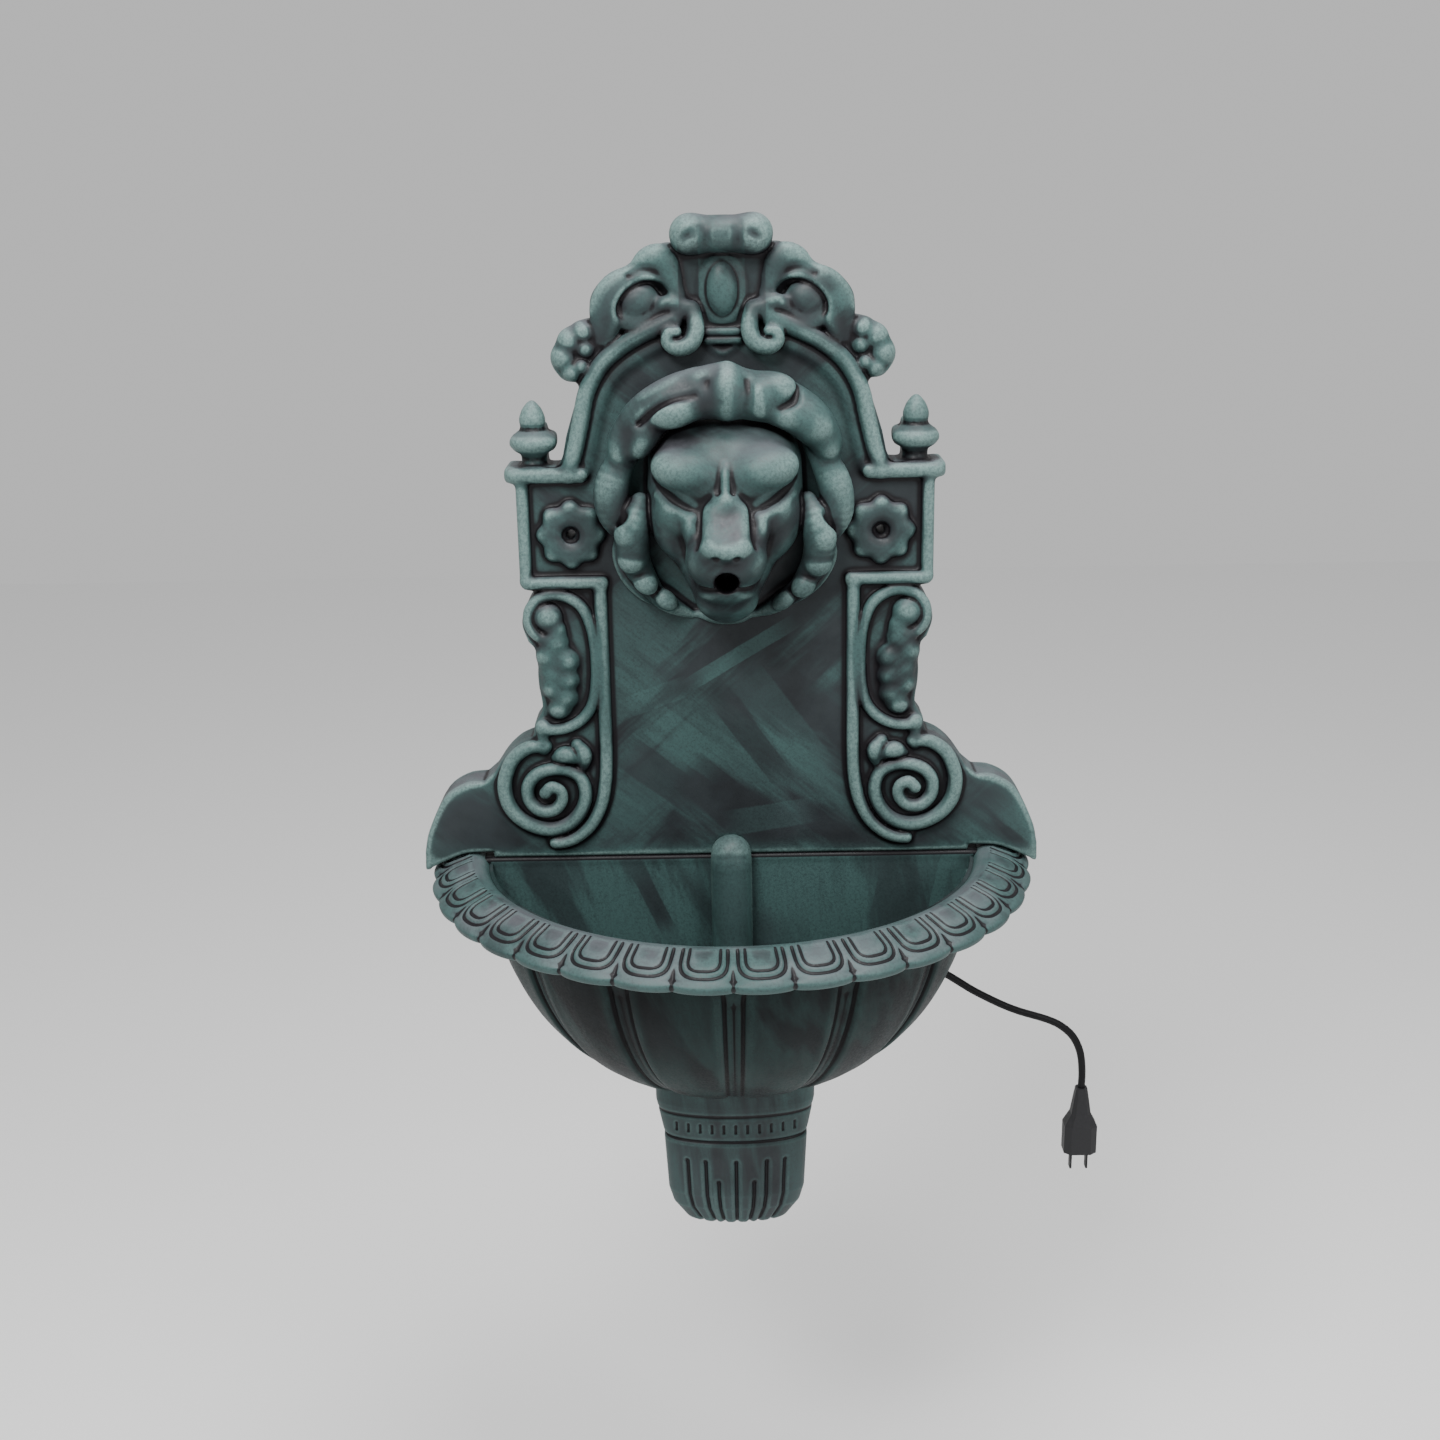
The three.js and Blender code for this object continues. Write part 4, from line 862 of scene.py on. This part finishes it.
def build_lion():
    low, high = (-94, -126, -76), (94, -20, 130)
    block = Block(low, high, FINE_STEP)
    add_mane(block)
    face = Block(low, high, FINE_STEP)
    add_face(face)
    block.field = soft_min(block.field, face.field, 1.5)
    block.full = block.field.copy()
    block.cut(Brick((0, 0, 25), (100, 29.5, 110), rounding=1), 1)
    block.cut(Ball((0, 24, 12), (40, 30, 56)), 2)
    block.cut(Strand([(0, 134, -24.5, 8.8), (0, 112, -21.5, 8.6), (0, 84, -20.5, 7.8)]), 1.5)
    return piece_from_block("lion_mask", block, "plate", ["back_plate"])


# Basin: closed skins swept through rings of points
def basin_points(radius, angle, height):
    """Points round the basin's upright middle line, none of them behind the wall."""
    off = np.minimum(-BASIN_CENTRE - radius * np.cos(angle), 0)
    return np.stack(np.broadcast_arrays(radius * np.sin(angle), off, height), -1)


def reach_of(radii):
    """The angle at which a circle round the basin's middle line meets the wall."""
    return np.arccos(np.clip(-BASIN_CENTRE / radii, -1, 1))


def shared_cavity(vertices, quads, rounds, size):
    """How far each point lies behind the average of its neighbours, along its normal."""
    a, b = neighbours(quads)
    flat = vertices[quads]
    normal = np.cross(flat[:, 2] - flat[:, 0], flat[:, 3] - flat[:, 1])
    at = np.zeros_like(vertices)
    for corner in range(4):
        for axis in range(3):
            at[:, axis] += np.bincount(quads[:, corner], normal[:, axis], minlength=len(vertices))
    at /= np.maximum(np.linalg.norm(at, axis=1, keepdims=True), 1e-9)
    soft = vertices.copy()
    for _ in range(rounds):
        soft = averaged(soft, a, b)
    return FLAT + ((soft - vertices) * at).sum(1) / size


def swept_piece(name, rings, rounds, size, turned=False):
    """A skin through closed rings of points, with a cap over each end. Its hollows are darkened by their
    depth against a size, after rounds of averaging."""
    rows, columns = rings.shape[:2]
    vertices = rings.reshape(-1, 3)
    index = np.arange(rows * columns).reshape(rows, columns)
    index = np.hstack([index, index[:, :1]])
    quads = np.stack([index[:-1, :-1], index[:-1, 1:], index[1:, 1:], index[1:, :-1]], -1).reshape(-1, 4)
    if turned:
        quads = quads[:, ::-1]
    cavity = shared_cavity(vertices, quads, rounds, size)
    depth = np.full(len(cavity), FLAT)
    piece = make_mesh(name, vertices, quads, "basin", ["basin"], cavity=cavity, depth=depth)
    work = bmesh.new()
    work.from_mesh(piece.data)
    work.verts.ensure_lookup_table()
    work.faces.new([work.verts[i] for i in index[0, :-1]])
    work.faces.new([work.verts[i] for i in index[-1, -2::-1]])
    bmesh.ops.recalc_face_normals(work, faces=work.faces)
    work.to_mesh(piece.data)
    work.free()
    return piece


def bump(value, middle, width):
    return np.exp(-((value - middle) / width) ** 2)


def tongue_share(angle):
    """Where an angle lies across its tongue of the rim, from -0.5 to 0.5."""
    share = angle / TONGUE_PITCH
    return share - np.floor(share) - 0.5


def tongue_relief(angle, radius):
    """Height of the rim's tongues: a pad in a double outline, open towards the bowl and square-round
    towards the rim's edge."""
    across = np.abs(tongue_share(angle)) * TONGUE_PITCH * RIM_MIDDLE
    along = np.maximum(radius - 206.5, 0)
    edge = (across ** 3 + (along * 1.02) ** 3) ** (1 / 3) - 12.2
    height = 1.0 / (1 + np.exp((edge + 2.6) / 0.6)) - 1.0 * bump(edge, -1.2, 0.9)
    height = height + 1.2 * bump(edge, 1.0, 1.5) - 1.5 * bump(edge, 3.5, 1.3)
    return height * np.clip((radius - 196.5) / 3, 0, 1)


def scallop(angle):
    return 1 - np.sqrt(np.clip(1 - (np.abs(tongue_share(angle)) * 1.9) ** 2, 0, 1))


def build_rim():
    top = RIM_TOP_Z
    low = top - 12
    section = smooth_line([
        (183.5, low - 16), (184, top - 12), (186.5, top - 5), (190.5, top - 1.6), (RIM_INNER, top - 0.2),
        (RIM_INNER + 3, top - 0.4), (203, top - 2.4), (210, top - 5), (218, top - 8.4), (224, top - 11.5),
        (RIM_RADIUS - 0.6, low - 3), (RIM_RADIUS - 0.3, low - 5.5), (226, low - 8.6), (221, low - 10),
        (208, low - 11), (196, low - 13), (187, low - 18),
    ], 6)
    radii, heights = section[:, 0], section[:, 1]
    angle = np.linspace(-1, 1, TONGUES * 44 + 1)[:, None] * reach_of(radii)
    wave = scallop(angle)
    outer = np.clip((radii - RIM_MIDDLE) / 12, 0, 1)
    upper = np.clip((heights - (low - 3)) / 3, 0, 1) * (radii > RIM_INNER)
    height = heights + tongue_relief(angle, radii) * upper - 2.6 * wave * outer * upper
    return swept_piece("basin_rim", basin_points(radii - outer * 6.0 * wave, angle, height), 9, 1.3)


def bowl_radius(drop, inset=0.0):
    return (BOWL_RADIUS - inset) * np.maximum(1 - drop * drop, 0) ** 0.4


def panel_relief(angle, drop):
    """The bowl's panels: sunk strips with a groove along each side, and an arch over each panel."""
    z = JOINT_Z - BOWL_DEPTH * drop
    side = np.abs(angle - np.round(angle / STRIP_PITCH) * STRIP_PITCH) * bowl_radius(drop)
    half = 4.2 + 2.6 * (1 - drop)
    top = np.clip((-262 - z - 26 * bump(side, 0, 16)) / 10, 0, 1)
    foot = np.clip((z + 428) / 8, 0, 1)
    front = np.clip((1.52 - np.abs(angle)) * 12, 0, 1)
    sunk = 1 / (1 + np.exp((side - half) / 0.9))
    relief = -2.2 * sunk - 2.8 * bump(side, half + 0.8, 1.5) + 0.5 * bump(side, half + 7, 5)
    panel = side / (STRIP_PITCH * bowl_radius(drop) / 2 + 1e-6)
    crown = 2.2 * np.sqrt(np.clip(panel, 0, 1))
    return (relief + crown) * top * foot * front - 1.2


def build_bowl():
    share = np.linspace(-1, 1, 521)[:, None]
    drops = np.concatenate([np.linspace(0.03, 0.9, 100), np.linspace(0.908, 0.978, 20)])
    radii = bowl_radius(drops)
    angle = share * reach_of(radii)
    outer = basin_points(radii + panel_relief(angle, drops), angle, JOINT_Z - BOWL_DEPTH * drops)
    drops = np.linspace(0.975, 0.02, 46)
    radii = bowl_radius(drops, WALL)
    inner = basin_points(radii, share * reach_of(radii), JOINT_Z - (BOWL_DEPTH - WALL) * drops)
    middle = np.zeros((len(share), 2, 3))
    middle[:, :, 1] = -BASIN_CENTRE / 2
    middle[:, 0, 2] = outer[0, -1, 2]
    middle[:, 1, 2] = inner[0, 0, 2]
    return swept_piece("basin_bowl", np.concatenate([outer, middle, inner], 1), 12, 3.4)


def pendant_half(z):
    heights = [-560.5, -557, -548, -532, -520, -474, -472, -470, -466, -442, -424]
    widths = [14, 26, 38, 50, 53.5, 56, 54.5, 56, 57, 61.7, 62]
    return np.interp(z, heights, widths)


def pendant_relief(across, z):
    """Slots under the bowl, two ring lines, and flutes down to the foot."""
    slots = bump((across + 4.6) % 9.2, 4.6, 0.9) * (np.abs(across) < 52)
    slots = slots * np.clip(4.5 - np.abs(z + 460), 0, 1)
    lines = bump(z, -472, 1.5) * 1.4 + bump(z, -449, 1.5) * 0.9
    flutes = np.zeros(len(across))
    for place in (-39, -24.5, -14.5, 0, 14.5, 24.5, 39):
        top = -505 if abs(place) == 14.5 else -487
        flutes += bump(across, place * pendant_half(z) / 56, 1.7) * np.clip((top - z) / 3, 0, 1)
    return -(1.6 * slots + lines + 2.6 * np.minimum(flutes, 1))


def build_pendant():
    rounding = np.sin(np.linspace(0, math.pi / 2, 40)[1:])
    heights = np.concatenate([np.linspace(-424, -540, 150), -540 - 20.5 * rounding])
    turn = np.linspace(0, math.pi, 241)
    inner_turn = turn[::8]
    straight = np.linspace(0, 1, 12, endpoint=False)
    rings = []
    for z in heights:
        half = pendant_half(z)
        side = 50 * min(1, half / 40)
        crown = 25 * half / 62
        across = -half * np.cos(turn)
        relief = pendant_relief(across, z)
        off = side + crown * np.sin(turn) ** 0.8 + relief * np.sin(turn) ** 0.3
        inner_half = max(half - WALL, 1.0)
        opening = min(max((z + 553) / 3, 0.02), 1)
        inner_off = opening * (max(side - WALL, 2) + crown * np.sin(inner_turn))
        ring = np.vstack([
            np.stack([np.full(12, -half), -side * straight], 1),
            np.stack([across - 0.6 * relief * np.cos(turn), -off], 1),
            np.stack([np.full(12, half), -side * straight[::-1]], 1),
            [(inner_half, 0)],
            np.stack([inner_half * np.cos(inner_turn), -inner_off], 1),
            [(-inner_half, 0)],
        ])
        rings.append(np.column_stack([ring, np.full(len(ring), z)]))
    return swept_piece("basin_pendant", np.stack(rings), 8, 1.6, turned=True)


def build_back():
    """The basin's back wall with the ledge under the plate and the two hooks, and the hose cover."""
    low, high = (-196, -64, -432), (196, 4, -218)
    drops = np.linspace(0.0, 0.965, 40)
    half = np.sqrt(np.maximum(bowl_radius(drops, WALL - 2) ** 2 - (FIELD - BASIN_CENTRE) ** 2, 1))
    edge = list(zip(half, JOINT_Z - (BOWL_DEPTH - WALL) * drops))
    outline = edge + [(-x, z) for x, z in reversed(edge)]
    solid = Block(low, high, BACK_STEP)
    solid.add(Slab(outline, -20, FIELD, 0.6), 1)
    wall = Block(low, high, BACK_STEP)
    wall.full = solid.field
    wall.add(Slab(outline, FIELD - WALL, FIELD, 0.6), 1)
    wall.add(Brick((0, FIELD / 2, JOINT_Z - WALL / 2), (189, FIELD / 2, WALL / 2), rounding=1), 2)
    for side in (1, -1):
        wall.add(Brick((side * HOOK_X, FIELD - WALL - 2.5, -240), (25, 2, 15.5), rounding=1), 1)
    wall.cut(Brick((0, 10, -238.5), (19, FIELD - 10, 9.5), rounding=0.5), 0.5)
    cover = Block((-40, -64, -432), (40, -30, -218), FINE_STEP)
    cover.add(Strand([
        (0, FIELD + 7, -424, 15.5), (0, FIELD + 8, -340, 15.5), (0, FIELD + 8, -262, 15.5),
        (0, FIELD + 6, -245, 15.2),
    ]), 1)
    cover.cut(Brick((0, FIELD - 8, -330), (60, 12, 120), rounding=0.5), 0.5)
    # The back wall gets painted shadow above the seam under the plate, and painted shade in the band below
    # it
    return [
        piece_from_block("basin_back", wall, "basin", ["basin"], seam=JOINT_Z - 2.6),
        piece_from_block("basin_riser", cover, "basin", ["basin"]),
    ]


# Materials. The mix node's two inputs and its output, for each kind of value that it can mix
MIX_SOCKETS = {"RGBA": (6, 7, 2), "FLOAT": (2, 3, 0)}


class Paint:
    """A material whose nodes are made and joined by short calls."""

    def __init__(self, name):
        self.material = bpy.data.materials.new(name)
        self.material.use_nodes = True
        self.tree = self.material.node_tree
        self.surface = self.tree.nodes["Principled BSDF"]
        self.place = self.node("ShaderNodeTexCoord").outputs["Object"]

    def node(self, kind, **values):
        made = self.tree.nodes.new(kind)
        for key, value in values.items():
            setattr(made, key, value)
        return made

    def join(self, value, socket):
        """A link to a socket, or a plain number or colour set on it."""
        if isinstance(value, tuple):
            socket.default_value = value + (1,)
        elif isinstance(value, (int, float)):
            socket.default_value = value
        else:
            self.tree.links.new(value, socket)

    def mapped(self, lean, size, middle=(0, 0, 0)):
        """Places about a middle, turned by a lean in the wall's plane and counted in sizes."""
        made = self.node("ShaderNodeMapping", vector_type="TEXTURE")
        made.inputs["Location"].default_value = middle
        made.inputs["Rotation"].default_value = (0, lean, 0)
        made.inputs["Scale"].default_value = size
        self.join(self.place, made.inputs["Vector"])
        return made.outputs["Vector"]

    def parts(self, vector):
        made = self.node("ShaderNodeSeparateXYZ")
        self.join(vector, made.inputs["Vector"])
        return made.outputs

    def noise(self, scale, detail, roughness=0.6, brush=None):
        """Cloudy noise; a brush is a lean in degrees and how far it is drawn out along and across."""
        place = self.place
        if brush is not None:
            lean, along, across = brush
            place = self.mapped(math.radians(lean), (along, 1, across))
        made = self.node("ShaderNodeTexNoise")
        made.inputs["Scale"].default_value = scale
        made.inputs["Detail"].default_value = detail
        made.inputs["Roughness"].default_value = roughness
        self.join(place, made.inputs["Vector"])
        return made.outputs["Fac"]

    def span(self, value, low, high, to_low=0.0, to_high=1.0):
        made = self.node("ShaderNodeMapRange", interpolation_type="SMOOTHSTEP")
        made.inputs["From Min"].default_value = low
        made.inputs["From Max"].default_value = high
        made.inputs["To Min"].default_value = to_low
        made.inputs["To Max"].default_value = to_high
        self.join(value, made.inputs["Value"])
        return made.outputs["Result"]

    def maths(self, kind, values, clamp):
        made = self.node("ShaderNodeMath", operation=kind, use_clamp=clamp)
        for value, socket in zip(values, made.inputs):
            self.join(value, socket)
        return made.outputs["Value"]

    def times(self, *values):
        return self.maths("MULTIPLY", values, True)

    def plus(self, *values):
        return self.maths("ADD", values, True)

    def mix(self, share, a, b, kind="RGBA"):
        made = self.node("ShaderNodeMix", data_type=kind)
        first, second, result = MIX_SOCKETS[kind]
        self.join(share, made.inputs[0])
        self.join(a, made.inputs[first])
        self.join(b, made.inputs[second])
        return made.outputs[result]

    def ripple(self, height, strength, distance):
        made = self.node("ShaderNodeBump")
        made.inputs["Strength"].default_value = strength
        made.inputs["Distance"].default_value = distance
        self.join(height, made.inputs["Height"])
        self.join(made.outputs["Normal"], self.surface.inputs["Normal"])

    def brushed(self, wobble, start, end, half, strength):
        """One straight stroke of a broad brush: its strength along the middle, nothing off it."""
        run, rise = end[0] - start[0], end[1] - start[1]
        middle = ((start[0] + end[0]) / 2 * MM, 0, (start[1] + end[1]) / 2 * MM)
        size = (math.hypot(run, rise) / 2 * MM, 1, half * MM)
        parts = self.parts(self.mapped(-math.atan2(rise, run), size, middle))
        across = self.maths("ABSOLUTE", [parts["Z"]], False)
        ragged = self.maths("ADD", [across, wobble], False)
        along = self.maths("ABSOLUTE", [parts["X"]], False)
        return self.times(self.times(self.span(ragged, 1.25, 1.08), self.span(along, 1, 0.4)), strength)


# Colours: near-black base, dark blue-grey, teal, pale teal for wear and painted highlight, and purple-grey
# for the painted sheen on faces turned up
BLACK = (0.0040, 0.0028, 0.0042)
SHADE = (0.0230, 0.0290, 0.0320)
TEAL = (0.038, 0.077, 0.074)
WORN_HIGHLIGHT_TEAL = (0.125, 0.195, 0.185)
TOP_SHEEN_MAUVE = (0.120, 0.112, 0.130)

# Brush strokes on the flats: both ends in x and z, half width, strength
PLATE_LIGHT = [
    ((-36, -118), (54, -64), 5.5, 0.75), ((-84, -134), (-24, -112), 8, 0.3),
    ((-66, -132), (0, -184), 13, 0.38), ((6, -98), (70, -186), 14, 0.3), ((-8, -224), (70, -212), 10, 0.3),
]
PLATE_DARK = [
    ((-88, -156), (-14, -214), 13, 0.75), ((-16, -110), (48, -200), 9, 0.7),
    ((-240, -222), (-160, -232), 24, 0.7), ((-23, 222), (-23, 138), 7, 0.8), ((23, 222), (23, 138), 7, 0.8),
]
BASIN_LIGHT = [
    ((165, -246), (151, -312), 4.5, 0.9), ((104, -262), (96, -300), 9, 0.3),
    ((-230, -282), (230, -282), 40, 0.34),
]
BASIN_DARK = [((-72, -258), (-46, -316), 6, 0.7), ((-90, -500), (90, -500), 62, 0.35)]


def patina_material(name, lean, other_lean, shade_factor=1.0, sheen=0.22, lights=(), darks=()):
    """Verdigris brushed over near-black: bare base and painted shade in the hollows, wear and painted
    highlight on what stands out, painted sheen on faces turned up; a shade factor under one gives a darker
    painted-shade copy.
    """
    black, shade, teal, light, top_sheen = (
        tuple(channel * shade_factor for channel in colour) for colour in (BLACK, SHADE, TEAL, WORN_HIGHLIGHT_TEAL, TOP_SHEEN_MAUVE)
    )
    paint = Paint(name)
    cavity = paint.node("ShaderNodeAttribute", attribute_name="cavity").outputs["Fac"]
    depth = paint.node("ShaderNodeAttribute", attribute_name="depth").outputs["Fac"]
    facing = paint.parts(paint.node("ShaderNodeNewGeometry").outputs["Normal"])
    cloud = paint.noise(16, 6)
    speckle = paint.noise(480, 5, 0.8)
    # Strokes in two directions, each in patches of its own
    first = paint.span(paint.noise(13, 5, brush=(lean, 5.0, 0.8)), 0.43, 0.53)
    second = paint.span(paint.noise(13, 5, brush=(other_lean, 5.0, 0.8)), 0.44, 0.53)
    fine = paint.span(paint.noise(60, 6, 0.75, (lean, 6.0, 0.7)), 0.30, 0.66, 0.45, 1.0)
    patch = paint.span(paint.noise(5, 2, 0.4), 0.46, 0.54)
    stroke = paint.times(paint.mix(patch, first, second, "FLOAT"), fine)
    # Wear and painted highlight on narrow ridges and on whatever stands out broadly
    ridge = paint.times(paint.span(cavity, 0.500, 0.40), 0.55)
    mass = paint.times(paint.span(depth, 0.49, 0.26), 0.85)
    wear_and_highlight = paint.times(paint.plus(ridge, mass), paint.span(cloud, 0.32, 0.60, 0.6, 1.0))
    cover = paint.plus(wear_and_highlight, paint.times(stroke, 0.85))
    wobble = paint.times(paint.noise(45, 5, 0.7), 0.3)
    for streak in lights:
        cover = paint.plus(cover, paint.brushed(wobble, *streak))
    for streak in darks:
        bare = paint.maths("SUBTRACT", (1.0, paint.brushed(wobble, *streak)), True)
        cover = paint.times(cover, bare)
    cover = paint.times(cover, paint.span(speckle, 0.30, 0.58, 0.5, 1.0))
    colour = paint.mix(paint.span(cloud, 0.35, 0.65, 0.5, 1.0), black, shade)
    colour = paint.mix(cover, colour, teal)
    # Pale teal where wear and painted highlight are strongest: partly rubbed paint, partly painted
    # highlight
    bright_wear_and_highlight = paint.times(paint.span(wear_and_highlight, 0.40, 1.0), paint.span(speckle, 0.34, 0.66, 0.35, 1.0))
    colour = paint.mix(bright_wear_and_highlight, colour, light)
    # Painted sheen: faces turned up get a pale purple-grey cast, standing in for the light from above
    upward_sheen = paint.times(paint.span(facing["Z"], 0.35, 1.0), paint.span(cloud, 0.40, 0.60, 0.15, 1.0))
    colour = paint.mix(paint.times(upward_sheen, 0.38), colour, top_sheen)
    # Black in the hollows: the bare dark base, and painted shade in the recesses
    hollow = paint.times(paint.span(cavity, 0.506, 0.562), 0.95)
    paint.join(paint.mix(hollow, colour, black), paint.surface.inputs["Base Color"])
    paint.join(paint.span(speckle, 0.3, 0.7, 0.40, 0.60), paint.surface.inputs["Roughness"])
    paint.surface.inputs["Specular IOR Level"].default_value = sheen
    grain = paint.noise(1100, 2)
    paint.ripple(paint.plus(paint.times(grain, 0.5), paint.times(speckle, 0.5)), 0.12, 0.0006)
    return paint.material


def rubber_material(name, colour, roughness):
    paint = Paint(name)
    speckle = paint.noise(700, 3)
    lifted = tuple(channel * 1.8 for channel in colour)
    paint.join(paint.mix(speckle, colour, lifted), paint.surface.inputs["Base Color"])
    dull = paint.span(speckle, 0.3, 0.7, roughness - 0.06, roughness + 0.08)
    paint.join(dull, paint.surface.inputs["Roughness"])
    paint.surface.inputs["Specular IOR Level"].default_value = 0.15
    paint.ripple(speckle, 0.06, 0.0003)
    return paint.material


def dress(piece, material):
    piece.data.materials.clear()
    piece.data.materials.append(material)


def dress_node(name, material):
    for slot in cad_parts[name].material_slots:
        slot.material = material


# Floor and light
def build_stage():
    data = bpy.data.meshes.new("floor")
    size = 4.0
    low = cad_low.z - 0.35
    corners = [(-size, -size, low), (size, -size, low), (size, size, low), (-size, size, low)]
    data.from_pydata(corners, [], [(0, 1, 2, 3)])
    floor = bpy.data.objects.new("floor", data)
    bpy.context.scene.collection.objects.link(floor)
    paint = Paint("pale_floor")
    paint.surface.inputs["Base Color"].default_value = (0.86, 0.86, 0.86, 1)
    paint.surface.inputs["Roughness"].default_value = 0.9
    dress(floor, paint.material)
    world = bpy.data.worlds.new("studio")
    world.use_nodes = True
    sky = world.node_tree.nodes["Background"]
    sky.inputs["Color"].default_value = (1, 1, 1, 1)
    sky.inputs["Strength"].default_value = 0.62
    bpy.context.scene.world = world


def add_light(name, place, target, size, power):
    data = bpy.data.lights.new(name, "AREA")
    data.shape = "RECTANGLE"
    data.size, data.size_y = size
    data.energy = power
    light = bpy.data.objects.new(name, data)
    light.location = place
    light.rotation_euler = (Vector(target) - Vector(place)).to_track_quat("-Z", "Y").to_euler()
    bpy.context.scene.collection.objects.link(light)


def build_lights():
    add_light("key", (-0.7, -1.5, 1.5), (0, 0, -0.05), (0.8, 0.6), 52)
    add_light("fill", (1.3, -1.3, 0.5), (0, 0, -0.1), (0.8, 0.8), 14)
    add_light("top", (0.2, -0.45, 1.3), (0, -0.05, 0), (0.8, 0.4), 26)


plate = build_plate()
lion = build_lion()
rim = build_rim()
bowl = build_bowl()
pendant = build_pendant()
back, riser = build_back()
plate_look = patina_material("plate_patina", 40, -42, lights=PLATE_LIGHT, darks=PLATE_DARK)
basin_look = patina_material("basin_patina", 84, 66, lights=BASIN_LIGHT, darks=BASIN_DARK)
# Painted shade: the bowl faces down, so it gets a darker copy of the basin's patina, its colours at 0.40
# and its specular level low
shaded_bowl_look = patina_material("bowl_patina_shaded", 84, 70, 0.40, 0.08)
for piece in (plate, lion):
    dress(piece, plate_look)
for piece in (rim, pendant, back, riser):
    dress(piece, basin_look)
dress(bowl, shaded_bowl_look)
sheath = rubber_material("lead_sheath", (0.0035, 0.0035, 0.004), 0.5)
dress(lead, sheath)
dress_node("cord_plug", rubber_material("plug_moulding", (0.014, 0.014, 0.015), 0.5))
dress_node("cord_grommet", rubber_material("grommet_rubber", (0.012, 0.012, 0.012), 0.6))
build_stage()
build_lights()

bpy.context.view_layer.update()
